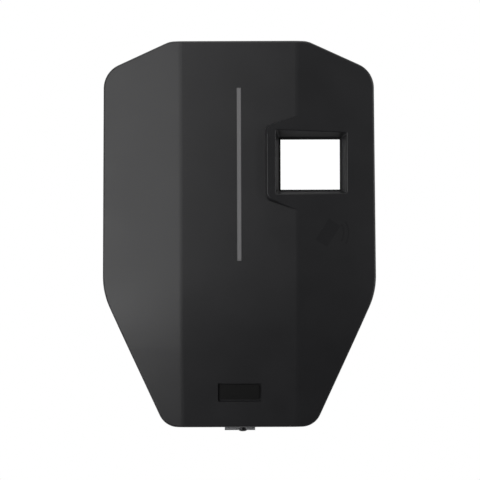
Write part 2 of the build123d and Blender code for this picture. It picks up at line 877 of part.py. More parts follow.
with BuildPart() as hinge_pins:
    for hook_x in (-hinge_distance / 2, hinge_distance / 2):
        with BuildSketch(Plane.YZ.offset(hook_x - pin_length / 2)):
            with Locations((-hinge_depth, hinge_level)):
                Circle(pin_radius)
        extrude(amount=pin_length)
hinge_pins.part.label = "hinge_pins"
export_step(hinge_pins.part, "parts/hinge_pins.step")


def make_rail(level, length):
    """Make a top-hat rail with its web on the supports, open to the front, at a level."""
    with BuildPart() as rail:
        with BuildSketch(Plane.YZ.offset(-length / 2)):
            with Locations((-rail_back, level)):
                Rectangle(rail_height, rail_channel, align=(Align.MAX, Align.CENTER))
            with Locations((-rail_front, level)):
                Rectangle(rail_thickness, rail_width, align=(Align.MIN, Align.CENTER))
                Rectangle(
                    rail_height - rail_thickness,
                    rail_channel - 2 * rail_thickness,
                    align=(Align.MIN, Align.CENTER),
                    mode=Mode.SUBTRACT,
                )
        extrude(amount=length)
        with BuildSketch(at_depth(rail_back)):
            with Locations((-rail_support_distance / 2, level), (rail_support_distance / 2, level)):
                Circle(rail_screw_radius)
        extrude(amount=rail_thickness, mode=Mode.SUBTRACT)
    return rail


device_rail = make_rail(device_rail_level, device_rail_length)
device_rail.part.label = "device_rail"
export_step(device_rail.part, "parts/device_rail.step")

terminal_rail = make_rail(terminal_rail_level, terminal_rail_length)
terminal_rail.part.label = "terminal_rail"
export_step(terminal_rail.part, "parts/terminal_rail.step")

with BuildPart() as rail_screws:
    with BuildSketch(at_depth(housing_back)):
        with Locations(*rail_screw_places):
            Circle(rail_screw_radius)
    extrude(amount=rail_support_height + rail_thickness)
    with BuildSketch(at_depth(rail_back + rail_thickness)):
        with Locations(*rail_screw_places):
            Circle(rail_screw_head_radius)
    extrude(amount=screw_head_height)
rail_screws.part.label = "rail_screws"
export_step(rail_screws.part, "parts/rail_screws.step")


def make_device(middle_x, modules):
    """Make a modular rail device: a stepped body with terminal holes and a groove at each module."""
    width = module_width * modules
    foot_depth = rail_front - device_foot
    module_places = [middle_x + (index - (modules - 1) / 2) * module_width for index in range(modules)]
    with BuildPart() as device:
        with BuildSketch(Plane.YZ.offset(middle_x - width / 2)):
            with Locations((-foot_depth, device_rail_level)):
                Rectangle(device_foot + device_shoulder, device_height, align=(Align.MAX, Align.CENTER))
                Rectangle(device_foot + device_nose, device_nose_height, align=(Align.MAX, Align.CENTER))
                Rectangle(
                    device_foot,
                    rail_width + 2 * rail_clearance,
                    align=(Align.MAX, Align.CENTER),
                    mode=Mode.SUBTRACT,
                )
        extrude(amount=width)
        screw_level = (device_height + device_nose_height) / 4
        screw_levels = (device_rail_level - screw_level, device_rail_level + screw_level)
        screw_places = [(x, level) for x in module_places for level in screw_levels]
        with BuildSketch(at_depth(rail_front + device_shoulder)):
            with Locations(*screw_places):
                Circle(device_hole_radius)
        extrude(amount=-device_hole_depth, mode=Mode.SUBTRACT)
        entry_depth = rail_front + device_shoulder / 2
        with BuildSketch(Plane.XY.offset(device_rail_level - device_height / 2)):
            with Locations(*[(x, -entry_depth) for x in module_places]):
                Rectangle(device_entry_size, device_entry_size)
        extrude(amount=device_hole_depth, mode=Mode.SUBTRACT)
        with BuildSketch(Plane.XY.offset(device_rail_level + device_height / 2)):
            with Locations(*[(x, -entry_depth) for x in module_places]):
                Rectangle(device_entry_size, device_entry_size)
        extrude(amount=-device_hole_depth, mode=Mode.SUBTRACT)
        with BuildSketch(at_depth(rail_front + device_shoulder)):
            for seam_x in module_places[1:]:
                with Locations(*[(seam_x - module_width / 2, level) for level in screw_levels]):
                    Rectangle(module_groove, (device_height - device_nose_height) / 2)
        extrude(amount=-module_groove, mode=Mode.SUBTRACT)
    return device.part


toggle_x = breaker_x - (breaker_width - toggle_width) / 4
button_place = (breaker_x + button_x_shift, device_rail_level - button_drop)
pocket_width_x = toggle_width + 2 * toggle_side_gap

with BuildPart() as breaker_body:
    add(make_device(breaker_x, breaker_pole_count))
    with BuildSketch(at_depth(nose_depth)):
        with Locations((toggle_x, toggle_level)):
            Rectangle(pocket_width_x, toggle_pocket_height)
    extrude(amount=-toggle_pocket_depth, mode=Mode.SUBTRACT)
    axle_span = pocket_width_x + 2 * toggle_axle_length
    with BuildSketch(Plane.YZ.offset(toggle_x - axle_span / 2)):
        with Locations((-toggle_axis_depth, toggle_level)):
            Circle(toggle_axle_radius + toggle_running_gap)
    extrude(amount=axle_span, mode=Mode.SUBTRACT)
    with BuildSketch(at_depth(nose_depth)):
        with Locations(button_place):
            Rectangle(button_size + 2 * button_gap, button_size + 2 * button_gap)
    extrude(amount=-(button_length - button_proud + button_travel + button_gap), mode=Mode.SUBTRACT)
breaker_body.part.label = "breaker_body"
export_step(breaker_body.part, "parts/breaker_body.step")

# Toggle: a drum on two axle stubs with a tab that stands up at rest
with BuildPart() as breaker_toggle:
    with BuildSketch(Plane.YZ.offset(toggle_x - toggle_width / 2)):
        with Locations((-toggle_axis_depth, toggle_level)):
            Circle(toggle_radius)
        with Locations(Location((-toggle_axis_depth, toggle_level), 180 - toggle_angle)):
            Rectangle(toggle_reach, toggle_thickness, align=(Align.MIN, Align.CENTER))
    extrude(amount=toggle_width)
    stub_span = pocket_width_x + 2 * (toggle_axle_length - toggle_side_gap)
    with BuildSketch(Plane.YZ.offset(toggle_x - stub_span / 2)):
        with Locations((-toggle_axis_depth, toggle_level)):
            Circle(toggle_axle_radius)
    extrude(amount=stub_span)
breaker_toggle.part.label = "breaker_toggle"
export_step(breaker_toggle.part, "parts/breaker_toggle.step")

with BuildPart() as breaker_test_button:
    with BuildSketch(at_depth(nose_depth + button_proud - button_length)):
        with Locations(button_place):
            RectangleRounded(button_size, button_size, button_size / 8)
    extrude(amount=button_length)
breaker_test_button.part.label = "breaker_test_button"
export_step(breaker_test_button.part, "parts/breaker_test_button.step")

with BuildPart() as contactor:
    add(make_device(contactor_x, contactor_pole_count))
contactor.part.label = "contactor"
export_step(contactor.part, "parts/contactor.step")


def make_terminal(middle_x):
    """Make one rail terminal with two clamp screws in front and a wire entry above and below."""
    with BuildPart() as terminal:
        with BuildSketch(Plane.YZ.offset(middle_x - terminal_width / 2)) as profile:
            with Locations((-rail_front + terminal_foot, terminal_rail_level)):
                Rectangle(terminal_foot + terminal_depth, terminal_height, align=(Align.MAX, Align.CENTER))
            chamfer(profile.vertices().group_by(Axis.X)[0], terminal_chamfer)
            with Locations((-rail_front + terminal_foot, terminal_rail_level)):
                Rectangle(
                    terminal_foot,
                    rail_width + 2 * rail_clearance,
                    align=(Align.MAX, Align.CENTER),
                    mode=Mode.SUBTRACT,
                )
        extrude(amount=terminal_width)
        with BuildSketch(at_depth(rail_front + terminal_depth)):
            with Locations((middle_x, terminal_rail_level)):
                with GridLocations(terminal_width, terminal_hole_distance, 1, 2):
                    Circle(terminal_hole_radius)
        extrude(amount=-terminal_hole_depth, mode=Mode.SUBTRACT)
        entry_depth = rail_front + terminal_depth / 2
        for end in (-1, 1):
            with BuildSketch(Plane.XY.offset(terminal_rail_level + end * terminal_height / 2)):
                with Locations((middle_x, -entry_depth)):
                    Rectangle(terminal_entry_size, terminal_entry_size)
            extrude(amount=-end * terminal_hole_depth, mode=Mode.SUBTRACT)
    return terminal


conductors = ["earth", "neutral", "line_1", "line_2", "line_3"]
group_width = terminal_count * terminal_width
group_middle = (terminal_group_gap + group_width) / 2
for side, group in ((-1, "supply"), (1, "outlet")):
    for index in range(terminal_count):
        terminal_x = side * group_middle + (index - (terminal_count - 1) / 2) * terminal_width
        terminal = make_terminal(terminal_x)
        terminal.part.label = f"{group}_terminal_{conductors[index]}"
        export_step(terminal.part, f"parts/{group}_terminal_{conductors[index]}.step")

stop_offset = (group_width + end_stop_width) / 2
with BuildPart() as end_stops:
    for stop_x in [side * group_middle + end * stop_offset for side in (-1, 1) for end in (-1, 1)]:
        with BuildSketch(Plane.YZ.offset(stop_x - end_stop_width / 2)) as profile:
            with Locations((-rail_front + terminal_foot, terminal_rail_level)):
                Rectangle(
                    terminal_foot + terminal_depth / 2,
                    terminal_height,
                    align=(Align.MAX, Align.CENTER),
                )
            chamfer(profile.vertices().group_by(Axis.X)[0], terminal_chamfer)
            with Locations((-rail_front + terminal_foot, terminal_rail_level)):
                Rectangle(
                    terminal_foot,
                    rail_width + 2 * rail_clearance,
                    align=(Align.MAX, Align.CENTER),
                    mode=Mode.SUBTRACT,
                )
        extrude(amount=end_stop_width)
end_stops.part.label = "end_stops"
export_step(end_stops.part, "parts/end_stops.step")

with BuildPart() as control_board:
    with BuildSketch(at_depth(control_back)):
        with Locations((0, control_level)):
            RectangleRounded(control_board_width, control_board_height, pocket_corner_radius)
        with Locations(*standoff_places):
            Circle(screw_hole_radius, mode=Mode.SUBTRACT)
    extrude(amount=board_thickness)
control_board.part.label = "control_board"
export_step(control_board.part, "parts/control_board.step")

with BuildPart() as control_board_screws:
    with BuildSketch(at_depth(control_front)):
        with Locations(*standoff_places):
            Circle(screw_head_radius)
    extrude(amount=screw_head_height)
    with BuildSketch(at_depth(control_back - screw_length)):
        with Locations(*standoff_places):
            Circle(screw_pilot_radius)
    extrude(amount=screw_length + board_thickness)
control_board_screws.part.label = "control_board_screws"
export_step(control_board_screws.part, "parts/control_board_screws.step")

with BuildPart() as power_module:
    with BuildSketch(at_depth(control_front)):
        with Locations((power_module_x, control_level + power_module_lift * control_board_height)):
            RectangleRounded(
                power_module_width,
                power_module_share * control_board_height,
                component_edge_radius,
            )
    extrude(amount=power_module_depth)
    chamfer(power_module.faces().sort_by(Axis.Y)[0].edges(), component_edge_radius)
power_module.part.label = "power_module"
export_step(power_module.part, "parts/power_module.step")

# Residual-current sensor: the outgoing conductors pass down through its hole
sensor_level = control_level + sensor_lift * control_board_height
with BuildPart() as current_sensor:
    with BuildSketch(Plane.XY.offset(sensor_level - sensor_height / 2)):
        with Locations((sensor_x, -control_front - sensor_width / 2)):
            RectangleRounded(sensor_width, sensor_width, component_edge_radius)
            Circle(sensor_hole_radius, mode=Mode.SUBTRACT)
    extrude(amount=sensor_height)
current_sensor.part.label = "current_sensor"
export_step(current_sensor.part, "parts/current_sensor.step")

connector_place = (connector_x, control_level + connector_lift * control_board_height)
way_pitch = connector_width / connector_way_count
with BuildPart() as signal_connector:
    with BuildSketch(at_depth(control_front)):
        with Locations(connector_place):
            Rectangle(connector_width, connector_height)
    extrude(amount=connector_depth)
    with BuildSketch(at_depth(control_front + connector_depth)):
        with Locations(connector_place):
            with GridLocations(way_pitch, connector_height, connector_way_count, 1):
                Rectangle(way_pitch / 2, connector_height / 2)
    extrude(amount=-connector_depth / 2, mode=Mode.SUBTRACT)
signal_connector.part.label = "signal_connector"
export_step(signal_connector.part, "parts/signal_connector.step")

with BuildPart() as radio_shield:
    with BuildSketch(at_depth(control_front)):
        with Locations((shield_x, control_level + shield_lift * control_board_height)):
            RectangleRounded(shield_width, shield_share * control_board_height, component_edge_radius)
    extrude(amount=shield_depth)
radio_shield.part.label = "radio_shield"
export_step(radio_shield.part, "parts/radio_shield.step")

# Cable glands, one for the supply lead and one for the charging lead
collar_bottom = housing_bottom - gland_collar_height
barrel_bottom = collar_bottom - gland_barrel_length
nut_top = collar_bottom - gland_nut_gap
nut_floor = barrel_bottom - gland_seal_length
for place, gland in zip(gland_places, ("supply", "charging")):
    with BuildPart() as gland_body:
        with BuildSketch(Plane.XY.offset(collar_bottom)):
            with Locations(place):
                RegularPolygon(gland_hex_radius, 6, major_radius=False)
        extrude(amount=gland_collar_height)
        with BuildSketch(Plane.XY.offset(housing_bottom)):
            with Locations(place):
                Circle(gland_thread_radius)
        extrude(amount=gland_thread_length)
        with BuildSketch(Plane.XY.offset(barrel_bottom)):
            with Locations(place):
                Circle(gland_barrel_radius)
        extrude(amount=gland_barrel_length)
        with BuildSketch(Plane.XY.offset(barrel_bottom)):
            with Locations(place):
                Circle(gland_bore_radius)
        extrude(amount=gland_barrel_length + gland_collar_height + gland_thread_length, mode=Mode.SUBTRACT)
    gland_body.part.label = f"{gland}_gland_body"
    export_step(gland_body.part, f"parts/{gland}_gland_body.step")

    with BuildPart() as gland_seal:
        with BuildSketch(Plane.XY.offset(nut_floor)):
            with Locations(place):
                Circle(gland_barrel_radius)
                Circle(gland_seal_bore, mode=Mode.SUBTRACT)
        extrude(amount=gland_seal_length)
    gland_seal.part.label = f"{gland}_gland_seal"
    export_step(gland_seal.part, f"parts/{gland}_gland_seal.step")

    with BuildPart() as gland_nut:
        with BuildSketch(Plane.XY.offset(nut_top)):
            with Locations(place):
                RegularPolygon(gland_nut_radius, 6, major_radius=False)
        extrude(amount=nut_floor - gland_nut_floor - nut_top)
        chamfer(gland_nut.faces().sort_by(Axis.Z)[0].edges(), gland_dome_radius)
        with BuildSketch(Plane.XY.offset(nut_top)):
            with Locations(place):
                Circle(gland_barrel_radius + gland_hole_gap)
        extrude(amount=nut_floor - nut_top, mode=Mode.SUBTRACT)
        with BuildSketch(Plane.XY.offset(nut_floor)):
            with Locations(place):
                Circle(gland_mouth_radius)
        extrude(amount=-gland_nut_floor, mode=Mode.SUBTRACT)
    gland_nut.part.label = f"{gland}_gland_nut"
    export_step(gland_nut.part, f"parts/{gland}_gland_nut.step")

    with BuildPart() as gland_locknut:
        with BuildSketch(Plane.XY.offset(housing_bottom + housing_wall)):
            with Locations(place):
                RegularPolygon(gland_nut_radius, 6, major_radius=False)
                Circle(gland_thread_radius + gland_hole_gap, mode=Mode.SUBTRACT)
        extrude(amount=locknut_height)
    gland_locknut.part.label = f"{gland}_gland_locknut"
    export_step(gland_locknut.part, f"parts/{gland}_gland_locknut.step")

with BuildPart() as blanking_plug:
    with BuildSketch(Plane.XY.offset(housing_bottom)):
        with Locations((0, -gland_depth)):
            Circle(plug_head_radius)
    extrude(amount=-plug_head_height)
    fillet(blanking_plug.faces().sort_by(Axis.Z)[0].edges(), plug_edge_radius)
    with BuildSketch(Plane.XY.offset(housing_bottom)):
        with Locations((0, -gland_depth)):
            Circle(plug_thread_radius)
    extrude(amount=plug_thread_length)
blanking_plug.part.label = "blanking_plug"
export_step(blanking_plug.part, "parts/blanking_plug.step")

with BuildPart() as blanking_nut:
    with BuildSketch(Plane.XY.offset(housing_bottom + housing_wall)):
        with Locations((0, -gland_depth)):
            RegularPolygon(plug_head_radius, 6, major_radius=False)
            Circle(plug_thread_radius + gland_hole_gap, mode=Mode.SUBTRACT)
    extrude(amount=locknut_height)
blanking_nut.part.label = "blanking_nut"
export_step(blanking_nut.part, "parts/blanking_nut.step")

# Latch bracket: folded sheet from the housing's underside to a forked tongue under the cover
with BuildPart() as latch_bracket:
    flange_middle = housing_bottom - bracket_thickness / 2
    tongue_middle = tongue_top - bracket_thickness / 2
    with BuildSketch(Plane.YZ.offset(-bracket_width / 2)):
        with BuildLine():
            FilletPolyline(
                (bracket_flange_length - bracket_leg_depth, flange_middle),
                (-bracket_leg_depth, flange_middle),
                (-bracket_leg_depth, tongue_middle),
                (-bracket_leg_depth - tongue_length, tongue_middle),
                radius=bracket_bend_radius,
            )
        trace(line_width=bracket_thickness)
    extrude(amount=bracket_width)
    with BuildSketch(Plane.XY.offset(tongue_bottom)):
        with Locations((latch_x, -latch_depth)):
            Circle(latch_screw_radius + latch_screw_gap)
            Rectangle(
                2 * (latch_screw_radius + latch_screw_gap),
                tongue_length,
                align=(Align.CENTER, Align.MAX),
            )
    extrude(amount=bracket_thickness, mode=Mode.SUBTRACT)
    with BuildSketch(Plane.XY.offset(housing_bottom)):
        with Locations(*bracket_screw_places):
            Circle(screw_hole_radius)
    extrude(amount=-bracket_thickness, mode=Mode.SUBTRACT)
latch_bracket.part.label = "latch_bracket"
export_step(latch_bracket.part, "parts/latch_bracket.step")

with BuildPart() as bracket_screws:
    with BuildSketch(Plane.XY.offset(housing_bottom - bracket_thickness - screw_head_height)):
        with Locations(*bracket_screw_places):
            Circle(screw_head_radius)
    extrude(amount=screw_head_height)
    with BuildSketch(Plane.XY.offset(housing_bottom - bracket_thickness)):
        with Locations(*bracket_screw_places):
            Circle(screw_pilot_radius)
    extrude(amount=bracket_thickness + screw_length)
bracket_screws.part.label = "bracket_screws"
export_step(bracket_screws.part, "parts/bracket_screws.step")
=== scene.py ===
"""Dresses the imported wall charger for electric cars, adds its fine detail and sets up the studio."""

from __future__ import annotations

import json
import logging
import math
from dataclasses import dataclass, field, replace
from enum import Enum
from typing import Callable, Iterable, Sequence

import bmesh
import bpy
from mathutils import Matrix, Vector

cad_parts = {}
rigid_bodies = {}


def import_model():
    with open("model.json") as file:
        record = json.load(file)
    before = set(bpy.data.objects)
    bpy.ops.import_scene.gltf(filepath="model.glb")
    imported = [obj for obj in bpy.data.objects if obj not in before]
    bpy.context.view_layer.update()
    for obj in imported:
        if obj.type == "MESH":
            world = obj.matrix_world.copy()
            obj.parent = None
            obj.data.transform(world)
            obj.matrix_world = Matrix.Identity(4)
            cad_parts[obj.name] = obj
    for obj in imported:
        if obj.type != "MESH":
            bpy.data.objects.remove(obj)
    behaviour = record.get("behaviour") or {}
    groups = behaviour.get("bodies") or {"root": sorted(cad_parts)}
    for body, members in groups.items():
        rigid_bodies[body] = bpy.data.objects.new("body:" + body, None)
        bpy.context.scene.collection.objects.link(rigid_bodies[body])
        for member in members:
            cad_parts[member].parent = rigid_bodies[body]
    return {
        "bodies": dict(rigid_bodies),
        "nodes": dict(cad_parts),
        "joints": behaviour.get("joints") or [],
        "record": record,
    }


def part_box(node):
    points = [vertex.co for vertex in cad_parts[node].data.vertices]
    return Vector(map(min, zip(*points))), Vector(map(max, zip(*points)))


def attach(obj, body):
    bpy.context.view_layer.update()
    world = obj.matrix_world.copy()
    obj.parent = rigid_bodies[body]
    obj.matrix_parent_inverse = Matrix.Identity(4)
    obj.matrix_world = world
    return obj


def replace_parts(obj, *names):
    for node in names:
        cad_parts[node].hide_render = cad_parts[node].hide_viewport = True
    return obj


LOG = logging.getLogger("wall_charger")
MM = 0.001
RIGHT_ANGLE = math.radians(90.0)
WHITE = (1.0, 1.0, 1.0, 1.0)
NODE_MERGE = 1e-6
PIECE_MERGE = 1e-7
EDGE_SEGMENTS = 2
Colour = tuple[float, float, float]
Point = tuple[float, float, float]
Profile = Sequence[tuple[float, float]]
Places = Sequence[tuple[float, float]]
FRONTWARDS = Vector((0.0, -1.0, 0.0))
BACKWARDS = Vector((0.0, 1.0, 0.0))
DOWNWARDS = Vector((0.0, 0.0, -1.0))


class Body(str, Enum):
    """The CAD bodies that pieces ride on."""

    HOUSING = "housing"
    COVER = "cover"


class Texture(Enum):
    """The kinds of surface that the shared node groups draw."""

    MOULDED = "moulded_grain"
    BRUSHED = "brushed_lines"
    MASKED = "solder_mask"


def add_math(
    tree: bpy.types.NodeTree, operation: str, *feeds: bpy.types.NodeSocket | float
) -> bpy.types.NodeSocket:
    """Add a math node to a tree.

    Args:
        tree: The tree.
        operation: The node's operation.
        feeds: What each of its inputs takes, another node's output or a number.

    Returns:
        The node's output.
    """
    node = tree.nodes.new("ShaderNodeMath")
    node.operation = operation
    for socket, feed in zip(node.inputs, feeds):
        if isinstance(feed, bpy.types.NodeSocket):
            tree.links.new(feed, socket)
        else:
            socket.default_value = feed
    return node.outputs[0]


@dataclass
class SurfaceGroups:
    """Builds the shared shader node groups, each one once."""

    even: Point = (1.0, 1.0, 1.0)
    drawn_along_x: Point = (0.03, 1.0, 1.0)
    noise_middle: float = 0.5
    bare_grey: float = 0.35
    pad_grey: float = 0.62
    track_grey: float = 1.0
    track_width: float = 0.035
    pad_width: float = 0.9
    pad_height: float = 0.3
    built: dict[Texture, bpy.types.NodeTree] = field(default_factory=dict)

    def get(self, texture: Texture) -> bpy.types.NodeTree:
        """Give the node group of a kind of surface.

        Args:
            texture: The kind of surface.

        Returns:
            The group, with Colour, Roughness, Scale and Contrast in and Colour, Roughness and Height out.
        """
        if texture not in self.built:
            makers: dict[Texture, Callable[[bpy.types.NodeTree], None]] = {
                Texture.MOULDED: self._draw_moulded,
                Texture.BRUSHED: self._draw_brushed,
                Texture.MASKED: self._draw_masked,
            }
            tree = self._start(texture.value)
            makers[texture](tree)
            self.built[texture] = tree
        return self.built[texture]

    @staticmethod
    def _start(name: str) -> bpy.types.NodeTree:
        """Make a group with the sockets that every surface shares.

        Args:
            name: The group's name.

        Returns:
            The group with its input and output nodes named "in" and "out".
        """
        tree = bpy.data.node_groups.new(name, "ShaderNodeTree")
        sockets = tree.interface
        sockets.new_socket("Colour", in_out="INPUT", socket_type="NodeSocketColor")
        for title in ("Roughness", "Scale", "Contrast"):
            sockets.new_socket(title, in_out="INPUT", socket_type="NodeSocketFloat")
        sockets.new_socket("Colour", in_out="OUTPUT", socket_type="NodeSocketColor")
        for title in ("Roughness", "Height"):
            sockets.new_socket(title, in_out="OUTPUT", socket_type="NodeSocketFloat")
        tree.nodes.new("NodeGroupInput").name = "in"
        tree.nodes.new("NodeGroupOutput").name = "out"
        return tree

    @staticmethod
    def _mapped(tree: bpy.types.NodeTree, change: str, amount: Point) -> bpy.types.NodeSocket:
        """Add Object coordinates with one change to them.

        Args:
            tree: The group.
            change: The Mapping node's socket, Scale or Rotation.
            amount: How much they are multiplied along X, Y and Z, or turned about them.

        Returns:
            The coordinates' socket.
        """
        place = tree.nodes.new("ShaderNodeTexCoord")
        mapping = tree.nodes.new("ShaderNodeMapping")
        mapping.inputs[change].default_value = amount
        tree.links.new(place.outputs["Object"], mapping.inputs["Vector"])
        return mapping.outputs["Vector"]

    def _noise(
        self, tree: bpy.types.NodeTree, ratio: float, stretch: Point, detail: float
    ) -> bpy.types.NodeSocket:
        """Add a noise on Object coordinates whose scale follows the group's Scale.

        Args:
            tree: The group.
            ratio: How much finer the noise is than the group's Scale.
            stretch: How much the coordinates are multiplied along X, Y and Z.
            detail: The noise's octaves.

        Returns:
            The noise's value socket.
        """
        noise = tree.nodes.new("ShaderNodeTexNoise")
        noise.inputs["Detail"].default_value = detail
        finer = add_math(tree, "MULTIPLY", tree.nodes["in"].outputs["Scale"], ratio)
        tree.links.new(self._mapped(tree, "Scale", stretch), noise.inputs["Vector"])
        tree.links.new(finer, noise.inputs["Scale"])
        return noise.outputs["Fac"]

    def _vary(
        self,
        tree: bpy.types.NodeTree,
        colour_by: bpy.types.NodeSocket,
        rough_by: bpy.types.NodeSocket,
        spread: float,
    ) -> None:
        """Let one noise lighten and darken the colour, and another move the roughness.

        Args:
            tree: The group.
            colour_by: The noise for the colour.
            rough_by: The noise for the roughness.
            spread: How far the roughness moves at a contrast of 1.
        """
        given, out = tree.nodes["in"].outputs, tree.nodes["out"].inputs
        lighter = add_math(tree, "SUBTRACT", colour_by, self.noise_middle)
        gain = add_math(tree, "MULTIPLY_ADD", lighter, given["Contrast"], 1.0)
        tint = tree.nodes.new("ShaderNodeVectorMath")
        tint.operation = "SCALE"
        tree.links.new(given["Colour"], tint.inputs[0])
        tree.links.new(gain, tint.inputs["Scale"])
        tree.links.new(tint.outputs["Vector"], out["Colour"])
        rougher = add_math(tree, "SUBTRACT", rough_by, self.noise_middle)
        amount = add_math(tree, "MULTIPLY", given["Contrast"], spread)
        rough = add_math(tree, "MULTIPLY_ADD", rougher, amount, given["Roughness"])
        tree.links.new(rough, out["Roughness"])

    def _draw_moulded(self, tree: bpy.types.NodeTree) -> None:
        """Draw spark-eroded moulding grain: fine pebbles, with a slow drift in colour and gloss.

        Args:
            tree: The group.
        """
        fine = self._noise(tree, ratio=1.0, stretch=self.even, detail=3.0)
        drift = self._noise(tree, ratio=0.012, stretch=self.even, detail=2.0)
        self._vary(tree, drift, drift, spread=0.3)
        tree.links.new(fine, tree.nodes["out"].inputs["Height"])

    def _draw_brushed(self, tree: bpy.types.NodeTree) -> None:
        """Draw rolled sheet: long fine lines along X, with cloudy plating.

        Args:
            tree: The group.
        """
        lines = self._noise(tree, ratio=1.0, stretch=self.drawn_along_x, detail=2.0)
        clouds = self._noise(tree, ratio=0.05, stretch=self.even, detail=3.0)
        self._vary(tree, clouds, lines, spread=0.5)
        tree.links.new(lines, tree.nodes["out"].inputs["Height"])

    def _draw_masked(self, tree: bpy.types.NodeTree) -> None:
        """Draw solder mask over copper: a grid of tracks under a smooth green coat.

        Args:
            tree: The group.
        """
        nodes, links = tree.nodes, tree.links
        grid = nodes.new("ShaderNodeTexBrick")
        greys = {"Color1": self.bare_grey, "Color2": self.pad_grey, "Mortar": self.track_grey}
        for title, grey in greys.items():
            grid.inputs[title].default_value = (grey, grey, grey, 1.0)
        grid.inputs["Mortar Size"].default_value = self.track_width
        grid.inputs["Brick Width"].default_value = self.pad_width
        grid.inputs["Row Height"].default_value = self.pad_height
        links.new(self._mapped(tree, "Rotation", (RIGHT_ANGLE, 0.0, 0.0)), grid.inputs["Vector"])
        links.new(nodes["in"].outputs["Scale"], grid.inputs["Scale"])
        level = nodes.new("ShaderNodeRGBToBW")
        links.new(grid.outputs["Color"], level.inputs["Color"])
        drift = self._noise(tree, ratio=0.4, stretch=self.even, detail=1.0)
        self._vary(tree, level.outputs["Val"], drift, spread=0.3)
        links.new(level.outputs["Val"], nodes["out"].inputs["Height"])


@dataclass(frozen=True)
class Finish:
    """One opaque finish: its colour and gloss, and the surface that breaks them up.

    The relief is in mm, and the spill is the share of a glow that lights other surfaces.
    """

    name: str
    colour: Colour
    roughness: float
    texture: Texture = Texture.MOULDED
    scale: float = 2600.0
    contrast: float = 0.25
    relief: float = 0.02
    metallic: float = 0.0
    specular: float = 0.5
    coat: float = 0.0
    emission: float = 0.0
    spill: float = 0.13

    def build(self, groups: SurfaceGroups) -> bpy.types.Material:
        """Make the material.

        Args:
            groups: The shared node groups.

        Returns:
            The material, with its group feeding colour, roughness and bump.
        """
        material = bpy.data.materials.new(self.name)
        material.use_nodes = True
        nodes, links = material.node_tree.nodes, material.node_tree.links
        shader = nodes["Principled BSDF"]
        shader.inputs["Metallic"].default_value = self.metallic
        shader.inputs["Specular IOR Level"].default_value = self.specular
        shader.inputs["Coat Weight"].default_value = self.coat
        surface = nodes.new("ShaderNodeGroup")
        surface.node_tree = groups.get(self.texture)
        surface.inputs["Colour"].default_value = (*self.colour, 1.0)
        surface.inputs["Roughness"].default_value = self.roughness
        surface.inputs["Scale"].default_value = self.scale
        surface.inputs["Contrast"].default_value = self.contrast
        links.new(surface.outputs["Colour"], shader.inputs["Base Color"])
        links.new(surface.outputs["Roughness"], shader.inputs["Roughness"])
        bump = nodes.new("ShaderNodeBump")
        bump.inputs["Strength"].default_value = 1.0
        bump.inputs["Distance"].default_value = self.relief * MM
        links.new(surface.outputs["Height"], bump.inputs["Height"])
        links.new(bump.outputs["Normal"], shader.inputs["Normal"])
        if self.emission > 0.0:
            self._light_up(material)
        return material

    def _light_up(self, material: bpy.types.Material) -> None:
        """Let the finish glow white where it is looked at, and barely light what is round it: a painted glow
        on the display face, and an even lift to white on the floor.

        Args:
            material: The material.
        """
        tree = material.node_tree
        shader = tree.nodes["Principled BSDF"]
        rays = tree.nodes.new("ShaderNodeLightPath").outputs
        bounces = add_math(tree, "ADD", rays["Diffuse Depth"], rays["Glossy Depth"])
        level = tree.nodes.new("ShaderNodeMapRange")
        level.inputs["To Min"].default_value = self.emission
        level.inputs["To Max"].default_value = self.emission * self.spill
        tree.links.new(bounces, level.inputs["Value"])
        shader.inputs["Emission Color"].default_value = WHITE
        tree.links.new(level.outputs["Result"], shader.inputs["Emission Strength"])


@dataclass(frozen=True)
class ClearFinish:
    """A clear polished pane."""

    name: str
    colour: Colour
    roughness: float = 0.02
    refraction: float = 1.49
    scale: float = 900.0
    contrast: float = 0.05

    def build(self, groups: SurfaceGroups) -> bpy.types.Material:
        """Make the material.

        Args:
            groups: The shared node groups, one of which mottles the polish.

        Returns:
            The material.
        """
        material = bpy.data.materials.new(self.name)
        material.use_nodes = True
        nodes, links = material.node_tree.nodes, material.node_tree.links
        shader = nodes["Principled BSDF"]
        shader.inputs["Base Color"].default_value = (*self.colour, 1.0)
        shader.inputs["Transmission Weight"].default_value = 1.0
        shader.inputs["IOR"].default_value = self.refraction
        surface = nodes.new("ShaderNodeGroup")
        surface.node_tree = groups.get(Texture.MOULDED)
        surface.inputs["Roughness"].default_value = self.roughness
        surface.inputs["Scale"].default_value = self.scale
        surface.inputs["Contrast"].default_value = self.contrast
        links.new(surface.outputs["Roughness"], shader.inputs["Roughness"])
        return material


COVER_BLACK = Finish("cover_black", (0.01, 0.01, 0.011), 0.42, scale=2400.0, relief=0.03, specular=0.4)
HOUSING_BLACK = Finish("housing_black", (0.02, 0.02, 0.021), 0.55, scale=2000.0, relief=0.04, specular=0.4)
PLATE_BLACK = Finish("plate_black", (0.004, 0.004, 0.004), 0.5, scale=3200.0, relief=0.01, specular=0.2)
SEAL_BLACK = Finish("seal_black", (0.012, 0.012, 0.012), 0.8, scale=1500.0, relief=0.03, specular=0.3)
GLAND_BLACK = Finish("gland_black", (0.016, 0.016, 0.017), 0.42, scale=2200.0, relief=0.02)
STRIP_GREY = Finish("strip_grey", (0.12, 0.119, 0.122), 0.45, scale=1800.0, relief=0.01, contrast=0.1)
BOARD_GREEN = Finish(
    "board_green",
    (0.012, 0.085, 0.035),
    0.32,
    Texture.MASKED,
    scale=120.0,
    contrast=0.9,
    relief=0.02,
    coat=0.3,
)
LED_CLEAR = Finish("led_clear", (0.8, 0.8, 0.72), 0.2, scale=900.0, contrast=0.1)
# Painted glow: the display face shows white where it is seen directly, and lights the pocket walls round it
# only faintly.
PAINTED_GLOW_WHITE = Finish(
    "painted_glow_white", (0.05, 0.05, 0.05), 0.3, scale=1200.0, contrast=0.01, relief=0.0, emission=1.12
)
